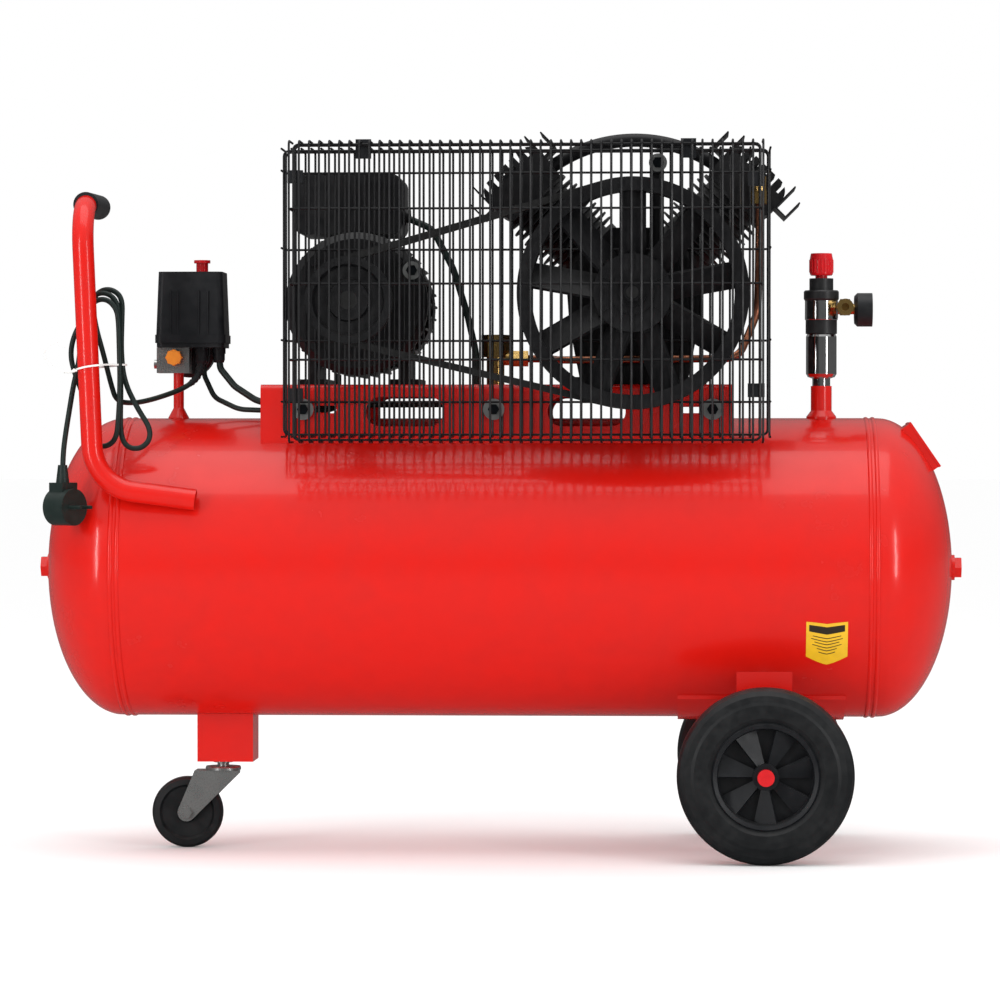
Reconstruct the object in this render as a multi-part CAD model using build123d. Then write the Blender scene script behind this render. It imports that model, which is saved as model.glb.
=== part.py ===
from build123d import *
import math
import os

os.makedirs("parts", exist_ok=True)

# Belt-driven workshop air compressor on a horizontal tank.
# Millimetres. X runs along the tank towards the two big wheels' end, Z is up, and the
# belt guard and the near wheel are on the -Y side. The origin is on the floor, under
# the middle of the tank.

# ---- driving sizes ---------------------------------------------------------------
# Tank
tank_r = 200.0          # outer radius of the shell
tank_wall = 3.0
ground_gap = 179.0      # height of the tank's underside
tank_z = ground_gap + tank_r
shell_half = 486.0      # half length of the straight shell, seam to middle
skirt = 20.0            # straight skirt of each dished end
dome_depth = 100.0      # depth of the elliptical dish beyond its skirt
seam_bead = 1.6         # height of the joggle beads beside each seam
plug_r = 15.0           # hexagon plug in each end, across corners
plug_out = 13.0         # how far each plug stands out of the apex
port_r = 10.0           # port that the plug screws into

# What stands on the tank is drawn for this top height and half length, then moved with
# the tank's own.
drawn_top = 579.0
drawn_half = 486.0
lift = tank_z + tank_r - drawn_top
stretch = shell_half - drawn_half

# Platform that carries the motor and the pump
deck_half = 311.0       # half length
deck_half_width = 111.0
deck_top = 623.0
deck_plate = 4.0
deck_bend = 8.0
window_x = 120.0        # lightening windows, centre distance from the middle
window_z = 587.0
window_long = 103.0
window_high = 39.0
adjust_slots = (-225.0, 258.0)
bolt_z = 590.0
guard_bolt_x = (-254.0, -2.0, 286.0)

# Wheels, axle and caster
wheel_r = 115.0
wheel_width = 45.0
wheel_outer_y = 235.0   # outer face of each tyre from the middle plane
wheel_x = 354.0
rim_r = 70.0
axle_r = 8.0
cap_r = axle_r + 3
cap_out = 11.0
bracket_y = 150.0
bracket_x = (317.0, 390.0)
bracket_plate = 4.0
caster_r = 48.0
caster_width = 24.0
caster_x = -373.0       # swivel axis
caster_trail = 48.0
leg_x = (-404.0, -329.0)
leg_half_width = 36.0
leg_bottom = 118.0
leg_plate = 4.0

# Handle
handle_r = 14.0
handle_wall = 2.0
handle_bend = 62.0
handle_weld = 107.5     # how far the welded end is below the tank's top
handle_y = -math.sqrt((tank_r + 12.22) ** 2 - (tank_r - handle_weld) ** 2)
grip_r = handle_r + 2.5
grip_start_y = -150.0
grip_end_y = -22.0
grip_gap = 0.15
handle_points = [(-388, handle_y, 471.5), (-521, handle_y - 2, 489), (-537, handle_y - 2, 858),
                 (-538, grip_end_y - 4, 862)]

# Belt guard: wire pitch, wire size and the two trays
wire = 3.0
pitch = 13.0
front_x = -261.0        # first upright wire of the front half
front_count = 48
front_low, front_high = 546.5, 935.5
front_y = -238.5
front_edge_y = -186.0
front_rows = (653.0, 751.0, 848.0)
rear_x = -276.5
rear_count = 50
rear_low, rear_high = 553.5, 929.5
rear_y = -116.0
rear_edge_y = -176.0
rear_rows = (599.5, 680.0, 800.0, 901.0)
guard_stays_at = ((214.0, 914.0), (-110.0, 773.0))

# Belt drive
crank_x, crank_z = 182.0, 740.0
fly_r = 150.0
fly_rim = 18.0
fly_width = 42.0
fly_y = -193.0          # middle plane of the belt
fly_hub_r = 51.0
blade_count = 9
blade_tilt = 52.0
motor_x, motor_z = -187.0, 731.0
pulley_r = 56.5
pulley_width = 28.0
belt_width = 13.0
belt_thick = 9.0
belt_proud = 1.0        # how far the belt stands out of its groove
belt_gap = 0.3

# Motor
frame_r = 84.0
fin_r = 97.0
fin_count = 36
frame_bore = 72.0
frame_y = (-55.0, 115.0)
shield_thick = 20.0
shaft_r = 12.0
run_gap = 0.05          # radial clearance of every running fit
rotor_r = 48.0
air_gap = 0.5
cowl_r = 90.0
cowl_end_y = 187.0
box_x = (-273.0, -126.0)
box_y = (-50.0, 80.0)
box_z = (822.0, 906.0)

# Pump
case_y = (-94.0, 75.0)
crank_r = 14.0
throw = 22.0            # crank throw, half of the stroke
pin_r = 12.0
bore_r = 32.45
cyl_start, cyl_end = 85.0, 185.0
fin_disc_r = 54.0
head_end = 247.0
head_half = 48.0
head_half_y = 48.0
shelf_half = 67.0       # half width of the thin finned shelf of each head
piston_len = 40.0
arch_r = 9.0
arch_top = 952.0

# Delivery line and check valve
copper_r = 5.0
valve_x = -5.0
line_y = -72.0          # plane of the pipe between the two heads

# Pressure switch
switch_x = -413.5
nipple_x = -433.0
switch_rise = 61.0      # height of the switch's nipple above the tank
knob_x = -401.0
knob_travel = 8.0
gauge_r = 36.0
cover_z = (680.0, 775.5)
cover_half = 47.5       # half length of the cover
switch_half_y = 38.0    # half depth
gland_exits = (         # where the three cables leave, downwards
    (-401.0, -14.0, 652.0), (-401.0, 10.0, 652.0), (-378.0, -4.0, 654.0))
gauge_deep = 24.0       # depth of both gauge cases
tank_gauge_at = Pos(-426, 46, 671) * Rot(-90, 0, 0)

# Regulator
reg_x = 432.0
outlet_rise = 43.0      # height of the outlet's nipple above the tank
reg_body_r = 22.0
outlet_x = 463.0        # axis of the hose socket
outlet_bore = 5.0
small_gauge_r = 22.5
outlet_gauge_at = Pos(476, 0, 724) * Rot(0, 90, 0)

# Drain valve
drain_x = 292.0
drain_boss_r = 14.0

# Cords
cord_r = 3.5
plug_x = -561.0         # where the plug hangs
plug_y = handle_y - 7.0
# The hank hangs against the inner side of the handle's tube
hank_y = (handle_y + handle_r, handle_y + handle_r + 26)
plug_r_body = 24.0
plug_turn = 35.0        # the plug's pins point this far towards the near side
lead_r = 4.5
earth_r = 3.5
# The mains cord's run to the hank, and its tail from the hank to the plug
cord_run = [(-401, -14, 660), (-402, -15, 643), (-409, -21, 629), (-424, -36, 618), (-444, -62, 609),
            (-462, handle_y + 95, 602), (-478, handle_y + 61, 598), (-496, handle_y + 33, 600)]
cord_tail = [(-545, handle_y + 25, 646), (-551, handle_y + 23, 622), (-555, handle_y + 17, 592),
             (-559, handle_y + 6, 558), (plug_x, handle_y - 4, 530), (plug_x, plug_y, 505)]


# ---- helpers ---------------------------------------------------------------------
def box(x, y, z):
    """A block between pairs of x, y and z."""
    size = (x[1] - x[0], y[1] - y[0], z[1] - z[0])
    return Pos((x[0] + x[1]) / 2, (y[0] + y[1]) / 2, (z[0] + z[1]) / 2) * Box(*size)


def rod_x(r, x, y, z):
    return Pos((x[0] + x[1]) / 2, y, z) * Rot(0, 90, 0) * Cylinder(r, x[1] - x[0])


def rod_y(r, x, y, z):
    return Pos(x, (y[0] + y[1]) / 2, z) * Rot(90, 0, 0) * Cylinder(r, y[1] - y[0])


def rod_z(r, x, y, z):
    return Pos(x, y, (z[0] + z[1]) / 2) * Cylinder(r, z[1] - z[0])


def prism_x(sketch, x):
    """A sketch drawn in Y and Z, extruded along X."""
    return extrude(Plane(origin=(x[0], 0, 0), x_dir=(0, 1, 0), z_dir=(1, 0, 0)) * sketch, x[1] - x[0])


def prism_y(sketch, y):
    """A sketch drawn in X and Z, extruded along Y."""
    return extrude(Plane(origin=(0, y[1], 0), x_dir=(1, 0, 0), z_dir=(0, -1, 0)) * sketch, y[1] - y[0])


def prism_z(sketch, z):
    return extrude(Pos(0, 0, z[0]) * sketch, z[1] - z[0])


def turned_y(points, x, z):
    """A profile of (radius, y) points turned about an axis along Y."""
    face = make_face(Polyline(*points, close=True))
    return Pos(x, 0, z) * revolve(face, Axis.Y)


def turned_z(points, x, y):
    """A profile of (radius, z) points turned about an axis along Z."""
    face = make_face(Polyline(*points, close=True))
    return Pos(x, y, 0) * revolve(Rot(90, 0, 0) * face, Axis.Z)


def swept(points, radii, r, hole=0.0):
    """A round rod or tube along straight runs joined by tangent arcs."""
    path = FilletPolyline(*points, radius=radii)
    section = Circle(r) - Circle(hole) if hole else Circle(r)
    return sweep(Plane(origin=path @ 0, z_dir=path % 0) * section, path=path)


def cord(name, points, r):
    """A cord's tube: each arc is as large as its two runs allow."""
    radii = []
    for a, b, c in zip(points, points[1:], points[2:]):
        first, second = Vector(*b) - Vector(*a), Vector(*c) - Vector(*b)
        turn = math.radians(first.get_angle(second))
        radii.append(0.45 * min(first.length, second.length) / math.tan(turn / 2))
    path = FilletPolyline(*points, radius=radii)
    tube = sweep(Plane(origin=path @ 0, z_dir=path % 0) * Circle(r), path=path)
    share = tube.volume / (math.pi * r * r * path.length)
    print(name, "length", round(path.length), "volume share", round(share, 3))
    print(name, "radii", [round(radius) for radius in radii])
    return tube


def mirrored(shape, x=0.0):
    """The same piece on the other side of a plane across X."""
    return mirror(shape, about=Plane(origin=(x, 0, 0), z_dir=(1, 0, 0)))


def far_side(shape):
    """The same piece on the +Y side."""
    return mirror(shape, about=Plane.XZ)


def save(node, *shapes):
    solids = [solid for shape in shapes for solid in shape.solids()]
    export_step(solids[0] if len(solids) == 1 else Compound(solids), "parts/" + node + ".step")


# ---- tank ------------------------------------------------------------------------
tank_cutter = rod_x(tank_r, (-shell_half - skirt, shell_half + skirt), 0, tank_z)
top_cutter = Pos(0, 0, -lift) * tank_cutter
apex_x = shell_half + skirt + dome_depth


def tank_shell():
    outer = rod_x(tank_r, (-shell_half, shell_half), 0, tank_z)
    return outer - rod_x(tank_r - tank_wall, (-shell_half, shell_half), 0, tank_z)


def dish(depth, r, beads=()):
    """A solid dished end: straight skirt, elliptical dish, and beads round its skirt."""
    base = shell_half + skirt
    outline = [Line((shell_half, 0), (base + depth, 0)),
               EllipticalCenterArc((base, 0), depth, r, 0, arc_size=90)]
    start = base
    for bead in beads:
        outline.append(Line((start, r), (bead + 3, r)))
        outline.append(ThreePointArc((bead + 3, r), (bead, r + seam_bead), (bead - 3, r)))
        start = bead - 3
    outline += [Line((start, r), (shell_half, r)), Line((shell_half, r), (shell_half, 0))]
    return Pos(0, 0, tank_z) * revolve(make_face(outline), Axis.X)


def tank_end():
    """A dished end with two joggle beads beside its seam."""
    outer = dish(dome_depth, tank_r, beads=(shell_half + 14, shell_half + 5))
    port = rod_x(port_r, (apex_x - 20, apex_x + 20), 0, tank_z)
    return outer - dish(dome_depth - tank_wall, tank_r - tank_wall) - port


def tank_fittings():
    """End plugs, bosses, nipples and the plate carrier: all welded or screwed to the tank."""
    dome = dish(dome_depth, tank_r)
    plug = rod_x(port_r, (apex_x - 8, apex_x), 0, tank_z) + rod_x(plug_r + 2, (apex_x, apex_x + 4), 0, tank_z)
    plug += prism_x(Pos(0, tank_z) * RegularPolygon(plug_r, 6), (apex_x + 3, apex_x + plug_out))
    top = tank_z + tank_r
    switch_profile = [(0, top - 5), (14, top - 5), (14, top + 1), (7, top + 14),
                      (7, top + switch_rise), (0, top + switch_rise)]
    switch_nipple = turned_z(switch_profile, nipple_x - stretch, 0)
    outlet_profile = [(0, top - 8), (20, top - 8), (20, top + 2), (14, top + 10),
                      (14, top + outlet_rise), (0, top + outlet_rise)]
    outlet_nipple = turned_z(outlet_profile, reg_x + stretch, 0)
    valve_boss = rod_z(18, valve_x, 0, (top - 6, top + 12)) - rod_z(12, valve_x, 0, (top - 7, top + 13))
    drain_boss = rod_z(drain_boss_r, drain_x + stretch, 0, (ground_gap - 12, ground_gap + 4))
    tilt = Pos(shell_half + skirt + 0.62 * dome_depth, 0, tank_z + 0.8225 * tank_r) * Rot(0, 55.5, 0)
    holder = tilt * Box(71, 100, 3)
    holder += tilt * Pos(0, 0, -13) * (Box(69, 98, 26) - Box(63, 92, 27))
    holder -= dome
    standing = [shape - tank_cutter for shape in (switch_nipple, outlet_nipple, valve_boss, drain_boss)]
    return [plug, mirrored(plug), *standing, holder]


# ---- platform, leg, bracket ------------------------------------------------------
def platform():
    low = 540.0
    w, t = deck_half_width, deck_plate
    outer = FilletPolyline((-w, low), (-w, deck_top), (w, deck_top), (w, low), radius=deck_bend)
    under = deck_top - t
    inner = FilletPolyline((t - w, low), (t - w, under), (w - t, under), (w - t, low), radius=deck_bend - t)
    ends = [Line((-w, low), (t - w, low)), Line((w - t, low), (w, low))]
    deck = prism_x(make_face([outer, inner, *ends]), (-deck_half, deck_half)) - top_cutter
    across = (-deck_half_width - 1, deck_half_width + 1)
    for x in (-window_x, window_x):
        deck -= prism_y(Pos(x, window_z) * SlotOverall(window_long, window_high), across)
    for x in adjust_slots:
        deck -= prism_y(Pos(x, bolt_z) * SlotOverall(30, 10), across)
    for x in guard_bolt_x:
        deck -= rod_y(4.0, x, (-deck_half_width - 1, 0), bolt_z)
    deck -= rod_z(14, valve_x, 0, (deck_top - 10, deck_top + 1))
    deck -= rod_z(lead_r + 2, -30, -30, (deck_top - 10, deck_top + 1))
    deck -= rod_z(earth_r + 2, -215, -16, (deck_top - 10, deck_top + 1))
    return deck


def front_leg():
    y = (-leg_half_width, leg_half_width)
    t = leg_plate
    outer = box(leg_x, y, (leg_bottom, tank_z))
    inner = box((leg_x[0] + t, leg_x[1] - t), (y[0] + t, y[1] - t), (leg_bottom + t, tank_z))
    return outer - inner - tank_cutter - rod_z(6, caster_x, 0, (leg_bottom - 1, leg_bottom + t + 1))


def axle_bracket():
    """A folded side plate for each end of the axle, and the saddle pad under the tank."""
    y = (-bracket_y, -bracket_y + 30)
    t = bracket_plate
    low = wheel_r - 22
    outer = box(bracket_x, y, (low, 300))
    inner = box((bracket_x[0] + t, bracket_x[1] - t), (y[0] + t, y[1] + 1), (low - 1, 301))
    near = outer - inner - tank_cutter - rod_y(axle_r, wheel_x, (y[0] - 1, y[1] + 1), wheel_r)
    pad = rod_x(tank_r + 4, (240, 461), 0, tank_z) - tank_cutter
    pad = pad & box((240, 461), (-112, 112), (ground_gap - 10, ground_gap + 100))
    pad -= rod_z(drain_boss_r, drain_x, 0, (ground_gap - 14, ground_gap + 6))
    return [near, far_side(near), pad]


# ---- wheels ----------------------------------------------------------------------
def tyre():
    """Solid rubber tyre with rounded shoulders and a shallow step in its sidewall."""
    out, inn = -wheel_outer_y, -wheel_outer_y + wheel_width
    r = wheel_r
    half = [(rim_r, out + 5), (rim_r + 6, out + 1), (rim_r + 16, out), (r - 22, out), (r - 18, out + 1.5),
            (r - 10, out + 3), (r - 4, out + 7), (r - 1, out + 12), (r, out + 18)]
    other = [(radius, inn + out - y) for radius, y in reversed(half)]
    return turned_y(half + other, wheel_x, wheel_r)


def hub():
    """Plastic hub with a rim, seven tilted blades and a boss that runs on the axle."""
    out, inn = -wheel_outer_y, -wheel_outer_y + wheel_width
    boss_r = 17.0
    rim = turned_y([(rim_r, out + 5), (rim_r - 2, out + 2), (rim_r - 7, out + 4), (rim_r - 9, out + 12),
                    (rim_r - 9, inn - 12), (rim_r - 7, inn - 4), (rim_r - 2, inn - 2),
                    (rim_r, inn - 5)], 0, 0)
    boss = rod_y(boss_r, 0, (out - 1, inn + 1), 0)
    span = (boss_r - 3, rim_r - 5)
    wedge = [(span[0], -5), (span[1], -17), (span[1], 17), (span[0], 5)]
    blade = Pos(0, (out + inn) / 2 - 4, 0) * Rot(24, 0, 0) * prism_y(
        make_face(Polyline(*wedge, close=True)), (-2, 2))
    disc = turned_y([(boss_r - 2, -2 + (out + inn) / 2 + 8), (rim_r - 5, -2 + (out + inn) / 2 + 8),
                     (rim_r - 5, 2 + (out + inn) / 2 + 8), (boss_r - 2, 2 + (out + inn) / 2 + 8)], 0, 0)
    whole = rim + boss + disc
    for i in range(7):
        whole += Rot(0, 90 + i * 360 / 7, 0) * blade
    whole -= rod_y(axle_r + run_gap, 0, (out - 5, inn + 5), 0)
    return Pos(wheel_x, 0, wheel_r) * whole


def axle():
    """The axle and the red push-on cap at each end of it."""
    rod_end = wheel_outer_y + 5
    rod = rod_y(axle_r, wheel_x, (-rod_end, rod_end), wheel_r)
    face = wheel_outer_y + 1.3
    cap = rod_y(cap_r, wheel_x, (-wheel_outer_y - cap_out, -face), wheel_r)
    cap -= rod_y(axle_r, wheel_x, (-rod_end, -face + 1), wheel_r)
    return [rod, cap, far_side(cap)]


def caster_plate():
    """Top plate with its stud and nut, the ball race and the kingpin."""
    top = leg_bottom
    plate = turned_z([(0, top), (13, top), (13, top - 3), (8, top - 3), (8, top - 8), (23, top - 8),
                      (24, top - 10),
                      (24, top - 13), (5, top - 13), (5, top - 18.6), (9, top - 18.6), (9, top - 22),
                      (0, top - 22)],
                     caster_x, 0)
    stud = rod_z(6, caster_x, 0, (top, top + 20))
    nut = Pos(caster_x, 0, 0) * prism_z(RegularPolygon(11, 6), (top + leg_plate, top + leg_plate + 10)) - stud
    return [plate + stud, nut]


def caster_fork():
    """Swivel fork: a top plate, two raked cheeks and the axle bolt."""
    top = leg_bottom - 13.3
    wheel_at = caster_x - caster_trail
    cheek_y = caster_width / 2 + 3
    outline = make_hull((Pos(wheel_at, caster_r) * Circle(12)).edges()
                        + (Pos(caster_x - 8, top - 2.5) * Rectangle(58, 5)).edges())
    cheek = prism_y(outline, (cheek_y, cheek_y + 3))
    roof = box((caster_x - 37, caster_x + 21), (-cheek_y - 3, cheek_y + 3), (top - 5, top))
    roof -= rod_z(5 + run_gap, caster_x, 0, (top - 6, top + 1))
    body = roof + cheek + far_side(cheek) - rod_y(4, wheel_at, (-40, 40), caster_r)
    ends = cheek_y + 3
    bolt = rod_y(4, wheel_at, (-ends, ends), caster_r)
    for y in ((-ends - 6, -ends), (ends, ends + 6)):
        bolt += prism_y(Pos(wheel_at, caster_r) * RegularPolygon(8, 6), y)
    return [body, bolt]


def caster_wheel():
    half = caster_width / 2
    r = caster_r
    profile = [(4 + run_gap, -half - 2), (12, -half - 2), (14, -half + 4), (r - 14, -half + 4),
               (r - 11, -half),
               (r - 4, -half + 1), (r - 1, -half + 5), (r, -half + 9)]
    other = [(radius, -y) for radius, y in reversed(profile)]
    return turned_y(profile + other, caster_x - caster_trail, caster_r)


# ---- handle ----------------------------------------------------------------------


def handle():
    tube = swept(handle_points, handle_bend, handle_r, handle_r - handle_wall)
    return tube - top_cutter


def grip():
    """Rubber sleeve over the handle's end, closed with a rounded cap."""
    start, end = Vector(*handle_points[2]), Vector(*handle_points[3])
    along = (end - start).normalized()
    at = start + along * (grip_start_y - start.Y)
    reach = end + along * 4 - at
    sleeve = Plane(origin=at, z_dir=along) * extrude(Circle(grip_r), reach.length)
    sleeve = fillet(sleeve.edges().sort_by(Axis.Y)[-1], 6)
    rod = swept(handle_points, handle_bend, handle_r + grip_gap)
    return max((sleeve - rod).solids(), key=lambda solid: solid.volume)


# ---- belt guard ------------------------------------------------------------------
def lattice(xs, zs):
    """A welded wire grille as one flat sketch: uprights at xs, rows at zs."""
    height, width = zs[-1] - zs[0] + wire, xs[-1] - xs[0] + wire
    mid_x, mid_z = (xs[0] + xs[-1]) / 2, (zs[0] + zs[-1]) / 2
    sheet = Pos(mid_x, mid_z) * Rectangle(width, height)
    windows = []
    for left, right in zip(xs, xs[1:]):
        for low, high in zip(zs, zs[1:]):
            hole = Rectangle(right - left - wire, high - low - wire)
            windows.append(Pos((left + right) / 2, (low + high) / 2) * hole)
    return sheet - windows


def tray(xs, rows, low, high, face_y, edge_y, middle_y):
    """One half of the guard: its face and the four grilles that close its sides."""
    half = wire / 2
    inside = 1 if edge_y > face_y else -1
    ys = sorted((face_y + inside * (wire + half), middle_y, edge_y))
    zs = [low, *rows, high]
    face = prism_y(lattice(xs, zs), (face_y - half, face_y + half))
    rims = []
    for z in (low, high):
        grille = lattice(xs, ys)
        rims.append(prism_z(grille, (z - half, z + half)))
    for x in (xs[0], xs[-1]):
        grille = lattice(ys, [low + wire + 0.5, *rows, high - wire - 0.5])
        rims.append(prism_x(grille, (x - half, x + half)))
    return face, rims


def guard_front():
    xs = [front_x + pitch * i for i in range(front_count)]
    face, rims = tray(xs, front_rows, front_low, front_high, front_y, front_edge_y, -210.0)
    return [face, *rims]


def guard_rear():
    xs = [rear_x + pitch * i for i in range(rear_count)]
    face, rims = tray(xs, rear_rows, rear_low, rear_high, rear_y, rear_edge_y, -146.0)
    across = (rear_y - 5, rear_y + 5)
    face -= rod_y(40, motor_x, across, motor_z)
    face -= rod_y(45, crank_x, across, crank_z)
    for x in guard_bolt_x:
        face -= rod_y(4.5, x, across, bolt_z)
    for x, z in guard_stays_at:
        face -= rod_y(4.5, x, across, z)
    arm = box((206, 222), (rear_y + 5, rear_y + 9), (776, 925)) + box(
        (206, 222), (rear_y + 9, case_y[0]), (776, 780))
    arm -= rod_y(4, guard_stays_at[0][0], (rear_y, rear_y + 10), guard_stays_at[0][1])
    shield_face = frame_y[0] - shield_thick
    post = rod_y(7, guard_stays_at[1][0], (rear_y + 3, shield_face), guard_stays_at[1][1])
    post -= rod_y(4, guard_stays_at[1][0], (rear_y + 2, rear_y + 14), guard_stays_at[1][1])
    return [*face.solids(), *rims, arm, post]


def guard_bolts():
    """Screws with big washers that hold the rear half, with nuts behind the platform."""
    def screw(x, z, length, washer_r=14.0):
        face = rear_y - wire / 2
        washer = rod_y(washer_r, x, (face - 2, face), z)
        head = prism_y(Pos(x, z) * RegularPolygon(7.5, 6), (face - 7.5, face - 2))
        return washer + head + rod_y(4, x, (face - 2, face + length), z)

    def nut(x, y, z):
        return prism_y(Pos(x, z) * RegularPolygon(7.5, 6), (y, y + 6)) - rod_y(4, x, (y - 1, y + 7), z)

    pieces = []
    for x in guard_bolt_x:
        pieces += [screw(x, bolt_z, 18), nut(x, deck_plate - deck_half_width, bolt_z)]
    pieces += [screw(*guard_stays_at[0], 18, 12.0),
               nut(guard_stays_at[0][0], rear_y + 9, guard_stays_at[0][1])]
    return pieces + [screw(*guard_stays_at[1], 14, 12.0)]


def guard_clips():
    """Plastic clips that bridge the gap between the two halves."""
    y = (front_edge_y + wire / 2, rear_edge_y - wire / 2)
    tops = [box((x - 10, x + 10), y, (916, 941)) for x in (-169, 254)]
    right = [box((331, 353), y, (z - 9, z + 9)) for z in (888, 614)]
    left = [box((-268, -248), y, z) for z in ((600, 617), (884, 901))]
    return tops + right + left


# ---- belt drive ------------------------------------------------------------------
def groove(r):
    """The V-groove of a pulley, as (radius, y) points about the belt's middle plane."""
    deep = r + belt_proud - belt_thick - belt_gap
    wide = belt_width / 2 + belt_gap
    return [(r + 1, fly_y - wide - 1.4), (deep, fly_y - wide), (deep, fly_y + wide),
            (r + 1, fly_y + wide + 1.4)]


def flywheel():
    """Fan flywheel: grooved rim, nine twisted blades, a ribbed disc and a boss."""
    y = (fly_y - fly_width / 2, fly_y + fly_width / 2)
    rim = rod_y(fly_r, 0, y, 0) - rod_y(fly_r - fly_rim, 0, (y[0] - 1, y[1] + 1), 0)
    disc = rod_y(fly_hub_r, 0, (y[0] + 4, y[0] + 13), 0)
    boss = rod_y(28, 0, y, 0)
    wheel = rim + disc + boss
    start, end = fly_hub_r - 6, fly_r - fly_rim + 3
    blade = Pos((start + end) / 2, fly_y, 0) * Rot(-blade_tilt + 90, 0, 0) * Box(end - start, 5, 40)
    root = Pos(fly_hub_r - 10, fly_y + 2, 0) * Box(26, 26, 8)
    for i in range(blade_count):
        turn = Rot(0, -90 + i * 360 / blade_count, 0)
        wheel += turn * blade
        wheel += turn * root
    for i in range(6):
        wheel += Rot(0, 90 + i * 60, 0) * Pos(34, y[0] + 3, 0) * Box(30, 3, 4)
    wheel -= turned_y(groove(fly_r), 0, 0)
    wheel -= rod_y(crank_r, 0, (y[0] - 1, y[1] + 1), 0)
    wheel = Pos(crank_x, 0, crank_z) * wheel
    front = y[0]
    washer = rod_y(18, crank_x, (front - 4, front), crank_z) - rod_y(
            8, crank_x, (front - 5, front + 1), crank_z)
    nut = prism_y(Pos(crank_x, crank_z) * RegularPolygon(13, 6), (front - 13, front - 4))
    nut -= rod_y(8, crank_x, (front - 14, front), crank_z)
    return [wheel, washer, nut]


def crankshaft():
    """Overhung crank: shaft, web with counterweight and crankpin."""
    front = fly_y - fly_width / 2
    web = (-34.0, -20.0)
    shaft = rod_y(crank_r, crank_x, (front, web[0] + 1), crank_z)
    shaft += rod_y(8, crank_x, (front - 15, front + 1), crank_z)
    shaft += prism_y(Pos(crank_x, crank_z) * (Circle(52) & Pos(0, -34) * Rectangle(110, 62)), web)
    shaft += prism_y(Pos(crank_x, crank_z + throw / 2) * SlotOverall(throw + 44, 44, rotation=90), web)
    return shaft + rod_y(pin_r, crank_x, (web[1] - 1, 24), crank_z + throw)


def motor_pulley():
    y = (fly_y - pulley_width / 2, fly_y + pulley_width / 2)
    wheel = turned_y([(shaft_r, y[0]), (26, y[0]), (28, y[0] + 8), (44, y[0] + 8), (47, y[0]),
                      (pulley_r, y[0]),
                      (pulley_r, y[1]), (22, y[1]), (22, y[1] + 14), (shaft_r, y[1] + 14)], 0, 0)
    wheel -= turned_y(groove(pulley_r), 0, 0)
    return Pos(motor_x, 0, motor_z) * wheel


def drive_belt():
    """V-belt as one closed loop round both pulleys."""
    def loop(grow):
        big = Pos(crank_x, crank_z) * Circle(fly_r + grow)
        small = Pos(motor_x, motor_z) * Circle(pulley_r + grow)
        return make_hull(big.edges() + small.edges())

    outer = belt_proud
    ring = loop(outer) - loop(outer - belt_thick)
    return prism_y(ring, (fly_y - belt_width / 2, fly_y + belt_width / 2))


# ---- motor -----------------------------------------------------------------------
def motor_frame():
    """Finned frame with its two feet."""
    ring = Circle(frame_r)
    for i in range(fin_count):
        ring += Rot(0, 0, i * 360 / fin_count) * Pos(
            (frame_r + fin_r) / 2 - 1, 0) * Rectangle(fin_r - frame_r + 2, 3)
    frame = prism_y(Pos(motor_x, motor_z) * (ring - Circle(frame_bore)), frame_y)
    for x in (-62.0, 62.0):
        foot = box((motor_x + x - 20, motor_x + x + 20), (frame_y[0] + 20, frame_y[1] - 20),
                   (deck_top, deck_top + 8))
        rib = box((motor_x + x - 6, motor_x + x + 6), (frame_y[0] + 20, frame_y[1] - 20),
                  (deck_top, motor_z - 50))
        frame += foot + (rib - rod_y(frame_r - 2, motor_x, frame_y, motor_z))
    return frame


def end_shields():
    """Front and rear end shields with bearing bosses, and their four through bolts' heads."""
    front = (frame_y[0] - shield_thick, frame_y[0])
    shield = turned_y([(shaft_r + run_gap, front[0] - 10), (30, front[0] - 10), (34, front[0]),
                       (86, front[0]),
                       (95, front[0] + 7), (95, front[1]), (shaft_r + run_gap, front[1])], motor_x, motor_z)
    for i in range(4):
        angle = math.radians(45 + 90 * i)
        at = (motor_x + 78 * math.cos(angle), motor_z + 78 * math.sin(angle))
        shield += prism_y(Pos(*at) * RegularPolygon(6.5, 6), (front[0] - 5, front[0] + 1))
    rear = (frame_y[1], frame_y[1] + 18)
    back = turned_y([(shaft_r + run_gap, rear[0]), (cowl_r - 3, rear[0]), (cowl_r - 3, rear[1]),
                     (30, rear[1]),
                     (28, rear[1] + 4), (shaft_r + run_gap, rear[1] + 4)], motor_x, motor_z)
    return [shield, back]


def fan_cowl():
    """Pressed cowl over the cooling fan, with a ring of slots in its end."""
    y = (frame_y[1] + 4, cowl_end_y)
    cup = rod_y(cowl_r, 0, y, 0) - rod_y(cowl_r - 3, 0, (y[0] - 1, y[1] - 2.5), 0)
    for i in range(16):
        slot = Rot(0, i * 360 / 16, 0) * Pos(50, y[1], 0) * Box(38, 12, 7)
        cup -= slot
    return Pos(motor_x, 0, motor_z) * cup


def rotor():
    """Shaft with the rotor core pressed on it."""
    shaft = rod_y(shaft_r, motor_x, (fly_y - pulley_width / 2, cowl_end_y - 8), motor_z)
    return shaft + rod_y(rotor_r, motor_x, (frame_y[0] + 25, frame_y[1] - 35), motor_z)


def stator():
    y = (frame_y[0] + 25, frame_y[1] - 35)
    core = rod_y(frame_bore, motor_x, y, motor_z) - rod_y(
        rotor_r + air_gap, motor_x, (y[0] - 1, y[1] + 1), motor_z)
    for start, end in ((y[0] - 18, y[0] + 1), (y[1] - 1, y[1] + 18)):
        core += rod_y(66, motor_x, (start, end), motor_z) - rod_y(
            rotor_r + 4, motor_x, (start - 1, end + 1), motor_z)
    return core


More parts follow.
